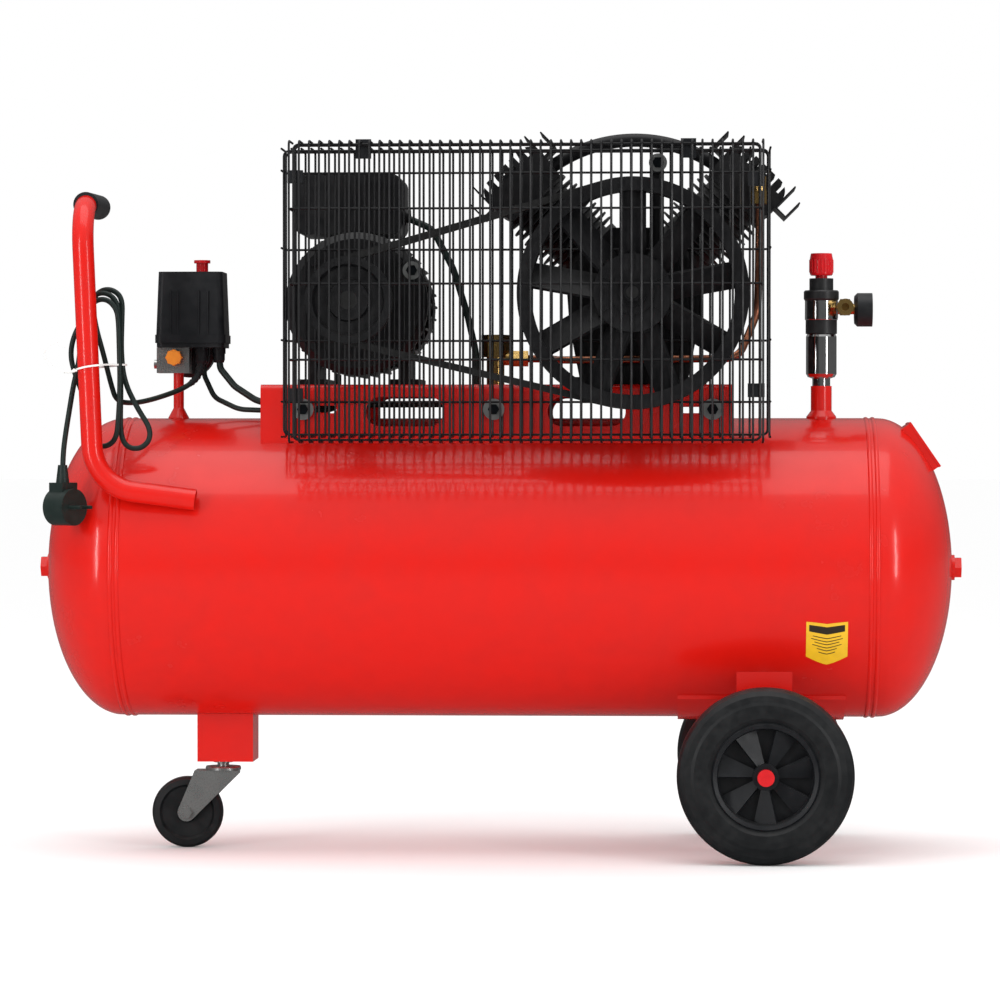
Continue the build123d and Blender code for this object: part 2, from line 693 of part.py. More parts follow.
def motor_fan():
    y = (frame_y[1] + 27, cowl_end_y - 9)
    fan = rod_y(24, 0, y, 0)
    for i in range(8):
        fan += Rot(0, i * 45, 0) * Pos(48, (y[0] + y[1]) / 2, 0) * Box(56, y[1] - y[0] - 2, 3)
    fan -= rod_y(shaft_r, 0, (y[0] - 1, y[1] + 1), 0)
    return Pos(motor_x, 0, motor_z) * fan


def terminal_box():
    """Ribbed capacitor and terminal box, with the gland of the motor lead."""
    mid = ((box_x[0] + box_x[1]) / 2, (box_z[0] + box_z[1]) / 2)
    size = (box_x[1] - box_x[0], box_z[1] - box_z[0])
    shell = prism_y(Pos(*mid) * RectangleRounded(size[0] - 4, size[1] - 4, 12), box_y)
    inside = RectangleRounded(size[0] - 10, size[1] - 10, 9)
    for i in range(9):
        x = box_x[0] + 18 + i * (size[0] - 36) / 8
        shell += box((x - 2, x + 2), (box_y[0] - 2, box_y[0] + 2), (box_z[0] + 14, box_z[1] - 10))
        shell += box((x - 2, x + 2), (box_y[0] + 6, box_y[1] - 6), (box_z[1] - 5, box_z[1]))
    shell -= prism_y(Pos(*mid) * inside, (box_y[0] + 3, box_y[1] - 3))
    shell -= rod_y(fin_r, motor_x, (-200, 200), motor_z)
    gland = rod_x(9, (box_x[1] - 2, box_x[1] + 9), -30, 849) - rod_x(
        lead_r, (box_x[1] - 3, box_x[1] + 10), -30, 849)
    gland += rod_x(12, (box_x[1] - 2, box_x[1] + 3), -30, 849) - rod_x(
        lead_r, (box_x[1] - 3, box_x[1] + 4), -30, 849)
    return [shell, gland]


# ---- pump ------------------------------------------------------------------------
def on_cylinder(shape, side):
    """Places a shape drawn along +Z from the crank axis on the cylinder at side * 45 degrees."""
    return Pos(crank_x, 0, crank_z) * Rot(0, side * 45, 0) * shape


def crankcase():
    outline = [(-70, -117), (70, -117), (85, -40), (90, 30), (30, 90), (-30, 90), (-90, 30), (-85, -40)]
    body = prism_y(Pos(crank_x, crank_z) * make_face(Polyline(*outline, close=True)), case_y)
    body += box((crank_x - 96, crank_x + 96), (case_y[0] + 4, case_y[1]), (deck_top, deck_top + 10))
    body -= rod_y(66, crank_x, (case_y[0] + 24, case_y[1] + 1), crank_z)
    body -= rod_y(crank_r + run_gap, crank_x, (case_y[0] - 1, case_y[0] + 30), crank_z)
    for side in (-1, 1):
        body -= on_cylinder(rod_z(bore_r + 1.5, 0, 0, (30, cyl_start + 5)), side)
    return body


def crankcase_cover():
    y = (case_y[1], case_y[1] + 12)
    cover = rod_y(76, crank_x, y, crank_z)
    for i in range(6):
        angle = math.radians(30 + 60 * i)
        at = (crank_x + 69 * math.cos(angle), crank_z + 69 * math.sin(angle))
        cover += prism_y(Pos(*at) * RegularPolygon(6.5, 6), (y[1] - 1, y[1] + 5))
    return cover


def cylinder():
    """One finned cylinder, drawn along +Z."""
    base = cyl_start
    points = [(bore_r, base), (50, base), (50, base + 8), (40, base + 8)]
    first, gap, count = base + 14, 9.0, 9
    for i in range(count):
        z = first + i * gap
        points += [(40, z), (fin_disc_r, z + 0.5), (fin_disc_r, z + 2.5), (40, z + 3)]
    points += [(40, cyl_end - 4), (50, cyl_end - 4), (50, cyl_end), (bore_r, cyl_end)]
    return turned_z(points, 0, 0)


def cylinder_head():
    """Finned head, drawn along +Z: a block, deep fins and a thin shelf with upright edges."""
    low, high = cyl_end, head_end
    profile = Pos(0, (low + high) / 2) * RectangleRounded(2 * head_half, high - low, 20)
    profile += Pos(0, low + 6) * Rectangle(2 * head_half - 6, 12)
    for i in range(6):
        x = -35 + i * 14
        profile -= Pos(x, high) * Rectangle(6, 30)
    for side in (-1, 1):
        profile += Pos(side * (head_half + 8), low + 32) * Rectangle(24, 2)
        profile += Pos(side * shelf_half, low + 45) * Rectangle(2, 28)
        profile += Pos(side * head_half, low + 52) * Rectangle(2, 36)
    return prism_y(profile, (-head_half_y, head_half_y))


def arch_path():
    """Ends of the crossover pipe in the heads, and its top between them."""
    end = 112.0
    return ThreePointArc((crank_x - end, 0, 916), (crank_x, 0, arch_top), (crank_x + end, 0, 916))


def crossover_pipe(hole):
    path = arch_path()
    section = Circle(arch_r) - Circle(hole) if hole else Circle(arch_r)
    return sweep(Plane(origin=path @ 0, z_dir=path % 0) * section, path=path)


def cylinder_heads():
    rod = crossover_pipe(0.0)
    heads = []
    for side in (-1, 1):
        head = on_cylinder(cylinder_head(), side) - rod
        heads.append(max(head.solids(), key=lambda solid: solid.volume))
    return heads


def piston(side):
    """Piston at the middle of its stroke."""
    middle = (cyl_start + cyl_end) / 2 - 2
    body = rod_z(bore_r - run_gap, 0, 0, (middle - piston_len / 2, middle + piston_len / 2))
    body -= rod_z(bore_r - 6, 0, 0, (middle - piston_len / 2 - 1, middle + piston_len / 2 - 8))
    return on_cylinder(body, side)


def intake_filters():
    """Round filter housings on the far side of the heads."""
    filters = []
    for side in (-1, 1):
        at = (crank_x + side * 152.0, crank_z + 152.0)
        y = (head_half_y, head_half_y + 40)
        can = rod_y(12, at[0], (y[0], y[0] + 8), at[1]) + rod_y(31, at[0], (y[0] + 8, y[1]), at[1])
        for i in range(12):
            angle = math.radians(30 * i)
            rib = (at[0] + 31 * math.cos(angle), at[1] + 31 * math.sin(angle))
            can += rod_y(2, rib[0], (y[0] + 10, y[1] - 4), rib[1])
        filters.append(can)
    return filters


def oil_fittings():
    """Sight glass and breather plug on the crankcase cover."""
    y = case_y[1] + 12
    glass = rod_y(13, crank_x, (y, y + 4), crank_z - 42) + rod_y(9, crank_x, (y, y + 6), crank_z - 42)
    breather = rod_y(7, crank_x + 30, (y, y + 8), crank_z + 30) + rod_y(
        11, crank_x + 30, (y + 8, y + 24), crank_z + 30)
    return [glass, breather]


# ---- delivery line ---------------------------------------------------------------
tee_x, tee_z = 348.0, 880.0


def delivery_tube():
    points = [(tee_x, line_y, tee_z - 18), (tee_x - 2, line_y, 720), (tee_x - 28, -102, 657), (84, -103, 655),
              (72, -20, 658), (valve_x + 44, 0, 659)]
    return swept(points, [60, 26, 26, 20], copper_r, copper_r - 1)


def check_valve():
    """Check valve, its side nut, and the brass elbow and nut on the head."""
    body = rod_z(12, valve_x, 0, (drawn_top, 664)) + Pos(valve_x, 0, 0) * prism_z(
        RegularPolygon(19, 6), (661, 691))
    body += rod_x(9, (valve_x, valve_x + 24), 0, 659)
    body = body - top_cutter
    side_nut = prism_x(Pos(0, 659) * RegularPolygon(12, 6), (valve_x + 24, valve_x + 44))
    elbow = rod_y(8, tee_x, (line_y, -head_half_y), tee_z + 8) + rod_z(
        9, tee_x, line_y, (tee_z - 1, tee_z + 18))
    head_nut = Pos(tee_x, line_y, 0) * prism_z(RegularPolygon(13, 6), (tee_z - 18, tee_z - 1))
    return [body, side_nut, elbow, head_nut]


# ---- pressure switch -------------------------------------------------------------


def switch_cover():
    """Tapered cover with a lip at its foot, shallow ribs and a hole for the knob."""
    z = cover_z
    shell = loft([Pos(switch_x, 0, z[0]) * RectangleRounded(93, 2 * switch_half_y, 8),
                  Pos(switch_x, 0, z[1]) * RectangleRounded(86, 2 * switch_half_y - 6, 8)])
    shell += prism_z(Pos(switch_x, 0) * RectangleRounded(2 * cover_half, 2 * switch_half_y + 2, 9),
                     (z[0], z[0] + 11))
    for x in (-26, -16, 12, 24):
        shell += box((switch_x + x - 1, switch_x + x + 1), (-switch_half_y - 0.8, -switch_half_y + 6),
                     (z[0] + 9, z[1] - 26))
    shell -= loft([Pos(switch_x, 0, z[0]) * RectangleRounded(87, 2 * switch_half_y - 6, 6),
                   Pos(switch_x, 0, z[1] - 3) * RectangleRounded(80, 2 * switch_half_y - 12, 6)])
    return shell - rod_z(8 + run_gap, knob_x, 0, (z[1] - 10, z[1] + 1))


def switch_base():
    """Base plate of the switch, with the two cable glands under it."""
    plate = prism_z(Pos(switch_x, 0) * RectangleRounded(2 * cover_half - 4, 2 * switch_half_y - 2, 8),
                    (674, cover_z[0]))
    block = prism_z(Pos(switch_x, 0) * RectangleRounded(70, 50, 5), (cover_z[0], cover_z[0] + 40))
    glands = []
    for (x, y, low), r in zip(gland_exits, (cord_r, earth_r, lead_r)):
        gland = turned_z([(r, low), (6.5, low), (8, low + 4), (8, low + 12), (9, low + 12), (9, 674),
                          (r, 674)], x, y)
        glands.append(gland)
    return [plate + block, *glands]


def switch_knob():
    z = cover_z[1]
    return turned_z([(0, z - 12), (8, z - 12), (8, z + 12.5), (11, z + 12.5), (11, z + 16.5),
                     (0, z + 16.5)], knob_x, 0)


def switch_manifold():
    """Zinc block between the nipple and the switch, with the seat of the relief valve."""
    block = box((-461, -417), (-15, 16), (640, 674)) - rod_y(3 + run_gap, -436, (-24, -4), 660.5)
    seat = rod_y(7, -436, (-21, -14), 660.5) - rod_y(3 + run_gap, -436, (-24, -4), 660.5)
    side = rod_x(6, (-466, -460), 0, 652)
    return block + seat + side


def safety_valve():
    """Relief valve: a knurled cap on the stem that is pulled to let air out."""
    cap = rod_y(10, -436, (-34, -22), 660.5)
    for i in range(8):
        angle = math.radians(45 * i)
        cap += rod_y(2, -436 + 9.4 * math.cos(angle), (-32, -23), 660.5 + 9.4 * math.sin(angle))
    return cap + rod_y(3, -436, (-23, -8), 660.5)


def gauge_case(r, deep):
    """A gauge's case, drawn facing +Z with its back at zero: a cup with a raised bezel."""
    cup = turned_z([(0, 0), (r - 4, 0), (r, 4), (r, deep), (r - 3, deep), (r - 3, deep - 4),
                    (0, deep - 4)], 0, 0)
    return cup


def gauge_needle(r, deep):
    """A needle with its hub, just above the dial."""
    pointer = Pos(0, r * 0.22, deep - 2.6) * Box(1.6, r * 0.95, 0.8)
    return rod_z(3, 0, 0, (deep - 3.6, deep - 1.6)) + pointer


def tank_gauge():
    return tank_gauge_at * gauge_case(gauge_r, gauge_deep) + rod_y(5, -426, (16, 47), 664)


# ---- regulator -------------------------------------------------------------------
def regulator_body():
    """Regulator: body, knurled ring and the collar under the knob."""
    z = (692.0, 736.5, 750.0, 766.0)
    r = reg_body_r
    body = turned_z([(0, z[0]), (r - 1, z[0]), (r - 1, z[0] + 18), (r, z[0] + 19), (r, z[1]),
                     (r + 1.5, z[1] + 2), (r + 1.5, z[2] - 2), (22, z[2]),
                     (16, z[2]), (16, z[3]), (8 + run_gap, z[3]), (8 + run_gap, z[2]), (0, z[2])], reg_x, 0)
    return body + box((reg_x + 4, reg_x + r), (-10, 10), (z[0] + 21, z[1] - 1))


def regulator_bowl():
    return turned_z([(0, 622), (12, 622), (12, 632), (18, 634), (20.5, 638), (20.5, 688), (19, 692),
                     (0, 692)], reg_x, 0)


def regulator_knob():
    knob = turned_z([(0, 751), (8, 751), (8, 770), (14, 770), (15.5, 772), (15.5, 792), (14, 799.5),
                     (0, 799.5)], reg_x, 0)
    for i in range(20):
        angle = math.radians(18 * i)
        knob += rod_z(1.1, reg_x + 15.2 * math.cos(angle), 15.2 * math.sin(angle), (774, 791))
    return knob


def outlet_elbow():
    """Brass outlet: an arm from the regulator to the gauge, and the hose socket facing -Y."""
    body = rod_x(7, (reg_x + reg_body_r, 476), 0, 725) + rod_y(8.9, outlet_x, (-12.5, 2), 727)
    body += rod_y(11, outlet_x, (-34, -12), 727)
    body += prism_y(Pos(outlet_x, 727) * RegularPolygon(12.5, 6), (-21, -12))
    return body - rod_y(outlet_bore, outlet_x, (-34, -12), 727)


def drain_valve():
    """Drain screw with its wing, under the tank."""
    top = ground_gap - 12
    body = Pos(drain_x, 0, 0) * prism_z(RegularPolygon(9, 6), (top - 12, top)) + rod_z(
        5, drain_x, 0, (top - 22, top - 12))
    return body + box((drain_x - 14, drain_x + 14), (-2, 2), (top - 28, top - 16))


# ---- cables and the mains cord ---------------------------------------------------
def loom_cables():
    """The motor lead and the second lead: both run from the switch through the platform."""
    x, y, z = gland_exits[2]
    x -= stretch
    lead_points = [(x, y, z + 12), (x + 2, y - 2, z - 8), (-356 - stretch, -12, 622),
                   (-325 - stretch, -18, 602),
                   (-290 - stretch, -22, 597), (-30, -30, 598), (-30, -30, 668), (-42, -30, 720),
                   (-60, -30, 778),
                   (-88, -30, 832), (box_x[1] - 1, -30, 849)]
    lead = swept(lead_points, [14, 30, 40, 60, 16, 90, 90, 60, 30], lead_r)
    x, y, z = gland_exits[1]
    x -= stretch
    earth_points = [(x, y, z + 12), (x + 2, y - 1, 636), (x + 16, y - 6, 607), (x + 50, y - 14, 591),
                    (-300 - stretch, -16, 589), (-215, -16, 591), (-215, -16, motor_z - frame_r)]
    second = swept(earth_points, [20, 24, 50, 100, 14], earth_r)
    return [lead, second - rod_y(fin_r, motor_x, frame_y, motor_z)]


def mains_hank():
    """Outer shape of the hank of mains cord that hangs behind the handle."""
    outline = [(-517, 748), (-502, 748), (-493, 700), (-490, 650), (-478, 604), (-452, 552),
               (-460, 542), (-500, 538),
               (-521, 544), (-527, 600), (-540, 622), (-557, 640), (-562, 672), (-552, 694),
               (-532, 690), (-522, 730)]
    return prism_y(make_face(Polyline(*outline, close=True)), hank_y)


def mains_plug():
    """Moulded angled plug: strain relief, body and two round pins."""
    x, y = plug_x, plug_y
    relief = turned_z([(cord_r, 492), (9, 492), (6, 517), (cord_r, 517)], x, y)
    face_on = Pos(x, y, 0) * Rot(0, 0, -plug_turn)
    body = Pos(4, 0, 462) * Rot(0, 90, 0) * Cylinder(plug_r_body, 34)
    body += box((-11, 13), (-14, 14), (462, 494))
    for side in (-9.5, 9.5):
        body += rod_x(2.4, (20, 42), side, 462)
    body = face_on * body - rod_z(cord_r, x, y, (485, 520))
    return body + relief


# ---- make every piece ------------------------------------------------------------
def placed(shapes, end=0, up=lift):
    """Moves drawn pieces with the tank: end is -1 or 1 for those near an end of it."""
    return [Pos(end * stretch, 0, up) * shape for shape in shapes]


end = tank_end()
cylinders = [on_cylinder(cylinder(), side) for side in (-1, 1)]

save("tank_shell", tank_shell())
save("tank_ends", end, mirrored(end))
save("tank_fittings", *tank_fittings())
save("platform", *placed([platform()]))
save("front_leg", *placed([front_leg()], end=-1, up=0))
save("axle_bracket", *placed(axle_bracket(), end=1, up=0))
save("axle", *placed(axle(), end=1, up=0))
save("near_tyre", *placed([tyre()], end=1, up=0))
save("near_hub", *placed([hub()], end=1, up=0))
save("far_tyre", *placed([far_side(tyre())], end=1, up=0))
save("far_hub", *placed([far_side(hub())], end=1, up=0))
save("caster_plate", *placed(caster_plate(), end=-1, up=0))
save("caster_fork", *placed(caster_fork(), end=-1, up=0))
save("caster_wheel", *placed([caster_wheel()], end=-1, up=0))
save("handle_tube", *placed([handle()], end=-1))
save("handle_grip", *placed([grip()], end=-1))
save("guard_front_half", *placed(guard_front()))
save("guard_rear_half", *placed(guard_rear()))
save("guard_bolts", *placed(guard_bolts()))
save("guard_clips", *placed(guard_clips()))
save("flywheel", *placed(flywheel()))
save("crankshaft", *placed([crankshaft()]))
save("motor_pulley", *placed([motor_pulley()]))
save("drive_belt", *placed([drive_belt()]))
save("motor_frame", *placed([motor_frame()]))
save("motor_end_shields", *placed(end_shields()))
save("motor_fan_cowl", *placed([fan_cowl()]))
save("motor_rotor", *placed([rotor()]))
save("motor_stator", *placed([stator()]))
save("motor_fan", *placed([motor_fan()]))
save("terminal_box", *placed(terminal_box()))
save("crankcase", *placed([crankcase()]))
save("crankcase_cover", *placed([crankcase_cover()]))
save("cylinders", *placed(cylinders))
save("cylinder_heads", *placed(cylinder_heads()))
save("piston_left", *placed([piston(-1)]))
save("piston_right", *placed([piston(1)]))
save("intake_filters", *placed(intake_filters()))
save("crossover_pipe", *placed([crossover_pipe(arch_r - 2)]))
save("oil_fittings", *placed(oil_fittings()))
save("delivery_tube", *placed([delivery_tube()]))
save("check_valve", *placed(check_valve()))
save("switch_base", *placed(switch_base(), end=-1))
save("switch_cover", *placed([switch_cover()], end=-1))
save("switch_knob", *placed([switch_knob()], end=-1))
save("switch_manifold", *placed([switch_manifold()], end=-1))
save("safety_valve", *placed([safety_valve()], end=-1))
save("tank_gauge", *placed([tank_gauge()], end=-1))
save("tank_gauge_needle", *placed([tank_gauge_at * gauge_needle(gauge_r, gauge_deep)], end=-1))
save("regulator_body", *placed([regulator_body()], end=1))
save("regulator_bowl", *placed([regulator_bowl()], end=1))
save("regulator_knob", *placed([regulator_knob()], end=1))
save("outlet_elbow", *placed([outlet_elbow()], end=1))
save("outlet_gauge", *placed([outlet_gauge_at * gauge_case(small_gauge_r, gauge_deep)], end=1))
save("outlet_gauge_needle", *placed([outlet_gauge_at * gauge_needle(small_gauge_r, gauge_deep)], end=1))
save("drain_valve", *placed([drain_valve()], end=1, up=0))
save("loom_cables", *placed(loom_cables()))
save("mains_cord", *placed([cord("mains run", cord_run, cord_r),
                            cord("mains tail", cord_tail, cord_r)], end=-1))
save("mains_hank", *placed([mains_hank()], end=-1))
save("mains_plug", *placed([mains_plug()], end=-1))
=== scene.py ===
# %% [markdown]
# A workshop air compressor, drawn on the frame that its CAD model gives.
# The CAD model already holds every real part at its real size, so it stays as it is.
# This script adds what CAD leaves out: finishes, round guard wire, the cord and small trim.

import math

import bpy
import numpy as np
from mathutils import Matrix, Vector


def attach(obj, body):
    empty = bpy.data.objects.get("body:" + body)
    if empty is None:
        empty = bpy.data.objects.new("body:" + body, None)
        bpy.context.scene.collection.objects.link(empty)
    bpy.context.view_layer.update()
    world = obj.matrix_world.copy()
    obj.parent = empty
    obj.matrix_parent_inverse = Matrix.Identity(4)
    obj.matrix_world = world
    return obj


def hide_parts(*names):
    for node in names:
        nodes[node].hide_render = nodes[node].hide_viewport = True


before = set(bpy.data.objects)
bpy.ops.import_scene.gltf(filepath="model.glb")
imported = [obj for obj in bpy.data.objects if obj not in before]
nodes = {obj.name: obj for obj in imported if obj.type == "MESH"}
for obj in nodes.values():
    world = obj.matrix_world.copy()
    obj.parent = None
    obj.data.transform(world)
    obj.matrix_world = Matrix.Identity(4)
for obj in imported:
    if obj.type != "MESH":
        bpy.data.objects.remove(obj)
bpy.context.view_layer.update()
MM = 0.001

# %% [markdown]
# The camera stands far off with a long lens, level with the belt guard and a little to the
# right of the middle, so upright edges stay upright and the tank's ends look almost flat.


# %% Camera
def linked(name, data):
    """A new object for that data, put into the scene."""
    made = bpy.data.objects.new(name, data)
    bpy.context.scene.collection.objects.link(made)
    return made


def aimed(thing, place, target):
    """Stands a camera or a lamp at a place, in metres, so that it looks at a target."""
    thing.location = place
    thing.rotation_euler = (Vector(target) - Vector(place)).to_track_quat("-Z", "Y").to_euler()


camera_place, camera_target = (0.2527, -5.6, 0.543), (0.001, 0.0, 0.469)
camera_data = bpy.data.cameras.new("camera")
camera_data.lens = 150.0
camera_data.sensor_width = 36.0
camera = linked("camera", camera_data)
aimed(camera, camera_place, camera_target)
bpy.context.scene.camera = camera
print("camera at", tuple(round(v, 3) for v in camera.location))

# %% [markdown]
# The mains cord leaves the pressure switch, goes round the tank's end to the handle, hangs
# there in a tied hank and ends in its plug. A cord is one smooth line of fixed length, so it
# is one NURBS spline whose control points are the route. Three loops lie behind each other,
# and each has its own width, as loose turns have.

# %% Cord route, in millimetres
CORD_R = 3.5
run_points = [
    (-401, -14, 660), (-402, -15, 643), (-409, -21, 629), (-424, -36, 618),
    (-444, -62, 609), (-462, -96, 602), (-478, -130, 598), (-496, -156, 600),
]
rear_loop = [
    (-503, -157, 622), (-513, -156, 662), (-524, -155, 700), (-528, -155, 734),
    (-516, -155, 747), (-500, -155, 747), (-488, -155, 735), (-489, -155, 704),
    (-490, -155, 664), (-486, -155, 626), (-468, -155, 590), (-452, -156, 566),
    (-452, -157, 549), (-464, -158, 538), (-480, -160, 539), (-489, -162, 552),
]
middle_loop = [
    (-490, -164, 578), (-489, -164, 612), (-490, -164, 650), (-491, -164, 700),
    (-493, -164, 729), (-505, -164, 742), (-521, -164, 742), (-533, -164, 729),
    (-541, -161, 706), (-553, -158, 684), (-557, -156, 660), (-551, -156, 636),
    (-541, -157, 612), (-535, -160, 584), (-534, -163, 556), (-522, -165, 542),
    (-506, -168, 541), (-494, -171, 552),
]
front_loop = [
    (-491, -173, 580), (-489, -173, 622), (-490, -173, 668), (-491, -173, 706),
    (-494, -173, 722), (-506, -173, 734), (-521, -173, 733), (-532, -173, 719),
    (-538, -172, 694), (-542, -169, 668),
]
tail_points = [
    (-545, -167, 646), (-551, -168, 622), (-555, -174, 592), (-559, -185, 558),
    (-561, -195, 530), (-561, -198, 505),
]
cord_points = run_points + rear_loop + middle_loop + front_loop + tail_points
print("cord has", len(cord_points), "control points")


# %% The cord's spline
def nurbs_line(name, points, radius):
    """One open NURBS spline through millimetre control points, with a round section."""
    curve = bpy.data.curves.new(name, "CURVE")
    curve.dimensions = "3D"
    spline = curve.splines.new("NURBS")
    spline.points.add(len(points) - 1)
    for point, (x, y, z) in zip(spline.points, points):
        point.co = (x * MM, y * MM, z * MM, 1.0)
    spline.order_u = 3
    spline.use_endpoint_u = True
    spline.resolution_u = 8
    curve.bevel_depth = radius * MM
    curve.bevel_resolution = 3
    curve.use_fill_caps = True
    return linked(name, curve)


def centre_line(curve_object):
    """The points along a curve's own line, in metres, read with its round section off."""
    depth = curve_object.data.bevel_depth
    curve_object.data.bevel_depth = 0.0
    bpy.context.view_layer.update()
    graph = bpy.context.evaluated_depsgraph_get()
    mesh = bpy.data.meshes.new_from_object(curve_object.evaluated_get(graph))
    flat = np.zeros(len(mesh.vertices) * 3)
    mesh.vertices.foreach_get("co", flat)
    bpy.data.meshes.remove(mesh)
    curve_object.data.bevel_depth = depth
    return flat.reshape(-1, 3)


cord = nurbs_line("mains_lead", cord_points, CORD_R)
line = centre_line(cord)
steps = np.linalg.norm(np.diff(line, axis=0), axis=1)

# %% [markdown]
# Most new pieces here are one of two things: a section carried along a path, or a grid of
# points worked out from two numbers. Both are arrays of points in rows, so one function can
# turn any such array into a mesh. Working on whole arrays keeps the code short and exact.


# %% Helpers that turn point grids into meshes
SHARP_ANGLE = 40.0


def unit(rows):
    """Each row of an array divided by its own length."""
    return rows / np.linalg.norm(rows, axis=1, keepdims=True)


def grid_faces(rows, columns, start, wrap):
    """Quads between neighbouring rows of a grid; wrap joins the last column to the first."""
    across = columns if wrap else columns - 1
    row, column = np.meshgrid(np.arange(rows - 1), np.arange(across), indexing="ij")
    beside = (column + 1) % columns
    quads = np.stack([row * columns + column, row * columns + beside,
                      (row + 1) * columns + beside, (row + 1) * columns + column], axis=-1)
    return (quads.reshape(-1, 4) + start).tolist()


def mesh_piece(name, grids, wrap=True, caps=True, smooth=True):
    """One object from several point grids in millimetres, each rows x columns x 3."""
    points, faces, start = [], [], 0
    for grid in grids:
        rows, columns = grid.shape[:2]
        points.append(grid.reshape(-1, 3))
        faces += grid_faces(rows, columns, start, wrap)
        if caps:
            faces.append(list(range(start + columns - 1, start - 1, -1)))
            last = start + (rows - 1) * columns
            faces.append(list(range(last, last + columns)))
        start += rows * columns
    mesh = bpy.data.meshes.new(name)
    mesh.from_pydata((np.concatenate(points) * MM).tolist(), [], faces)
    mesh.update()
    if smooth:
        mesh.shade_smooth()
        mesh.set_sharp_from_angle(angle=math.radians(SHARP_ANGLE))
    return linked(name, mesh)


def carried(section, path, across):
    """A flat section carried along a path that stays in one plane.

    At each point the path's direction and the plane's normal give the two axes that the
    section is drawn on: normal first, then the one square to both."""
    path, across = np.asarray(path, float), np.asarray(across, float)
    along = unit(np.gradient(path, axis=0))
    side = unit(np.cross(along, across))
    return (path[:, None, :] + section[None, :, :1] * side[:, None, :]
            + section[None, :, 1:] * across[None, None, :])


def circle(radius, count=8):
    """Points evenly round a circle."""
    angle = np.arange(count) * 2 * np.pi / count
    return np.stack([np.cos(angle), np.sin(angle)], axis=1) * radius


def rounded(corners, radius, count=4):
    """A path through corners, with each inner corner replaced by an arc of that radius."""
    corners = [np.asarray(c, float) for c in corners]
    path = [corners[0]]
    for before, here, after in zip(corners, corners[1:], corners[2:]):
        back = (before - here) / np.linalg.norm(before - here)
        ahead = (after - here) / np.linalg.norm(after - here)
        half = np.arccos(np.clip(back @ ahead, -1, 1)) / 2
        reach = radius / np.tan(half)
        centre = here + (back + ahead) / np.linalg.norm(back + ahead) * radius / np.sin(half)
        start, end = here + back * reach - centre, here + ahead * reach - centre
        turn = np.arccos(np.clip(start @ end / radius**2, -1, 1))
        share = np.linspace(0, 1, count + 1)[:, None]
        arc = (np.sin((1 - share) * turn) * start + np.sin(share * turn) * end) / np.sin(turn)
        path.extend(centre + arc)
    path.append(corners[-1])
    return np.array(path)


def turned(profile, count=48):
    """A profile of (radius, height) points turned once round the Z axis."""
    profile = np.asarray(profile, float)
    ring = circle(1.0, count)
    r, z = profile[:, 0][:, None], profile[:, 1][:, None]
    return np.stack([r * ring[None, :, 0], r * ring[None, :, 1], z + 0 * ring[None, :, 0]], axis=-1)


print("helpers ready: grid, section along a path, turned profile")

# %% [markdown]
# The belt guard is two trays of round wire. Each upright wire runs from the rim, bends round
# the edge, crosses the face and bends back. Rows run behind the uprights, and two hoops close
# the sides. A cylinder per wire would show hard corners, so every wire is one bent tube.

# %% Guard wire: sizes
WIRE_R = 1.5
PITCH = 13.0
BEND = 7.0
section = circle(WIRE_R, 8)
front = {"x": -261.0 + PITCH * np.arange(48), "z": (546.5, 935.5), "rows": (653.0, 751.0, 848.0),
         "face": -238.5, "edge": -186.0, "hoop": -210.0}
rear = {"x": -276.5 + PITCH * np.arange(50), "z": (553.5, 929.5), "rows": (599.5, 680.0, 800.0, 901.0),
        "face": -116.0, "edge": -176.0, "hoop": -146.0}
print("front spans", front["x"][0], front["x"][-1], "rear spans", rear["x"][0], rear["x"][-1])


# %% Guard wire: the two halves
def uprights(half, holes=()):
    """Every upright wire: one bent path, shifted in X, cut where it would cross a round hole."""
    low, high = half["z"]
    face, edge = half["face"], half["edge"]
    wires = []
    for x in half["x"]:
        gap = [(z, math.sqrt(r * r - (x - cx) ** 2)) for cx, z, r in holes if abs(x - cx) < r]
        if gap:
            z, reach = gap[0]
            parts = [[(x, edge, high), (x, face, high), (x, face, z + reach)],
                     [(x, face, z - reach), (x, face, low), (x, edge, low)]]
        else:
            parts = [[(x, edge, high), (x, face, high), (x, face, low), (x, edge, low)]]
        wires += [carried(section, rounded(part, BEND), (1.0, 0.0, 0.0)) for part in parts]
    return wires


def rows_and_hoops(half):
    """Rows that bend back at both sides, and two closed hoops just inside the uprights."""
    inward = 1.0 if half["edge"] > half["face"] else -1.0
    x0, x1 = half["x"][0], half["x"][-1]
    low, high = half["z"]
    face, edge = half["face"] + inward * 2 * WIRE_R, half["edge"]
    wires = []
    for z in half["rows"]:
        path = [(x0, edge, z), (x0, face, z), (x1, face, z), (x1, edge, z)]
        wires.append(carried(section, rounded(path, BEND), (0.0, 0.0, 1.0)))
    inset = 2 * WIRE_R
    for y in (half["hoop"], half["edge"]):
        middle = (x0 + x1) / 2
        path = [(middle, y, low + inset), (x0 + inset, y, low + inset), (x0 + inset, y, high - inset),
                (x1 - inset, y, high - inset), (x1 - inset, y, low + inset), (middle + 1, y, low + inset)]
        wires.append(carried(section, rounded(path, BEND), (0.0, 1.0, 0.0)))
    return wires


def ring_wire(cx, y, cz, radius):
    """A round hoop in the XZ plane: circle of the wire carried round a circle."""
    angle = np.linspace(0, 2 * np.pi, 65)
    path = np.stack([cx + radius * np.cos(angle), y + 0 * angle, cz + radius * np.sin(angle)], axis=1)
    return carried(section, path, (0.0, 1.0, 0.0))


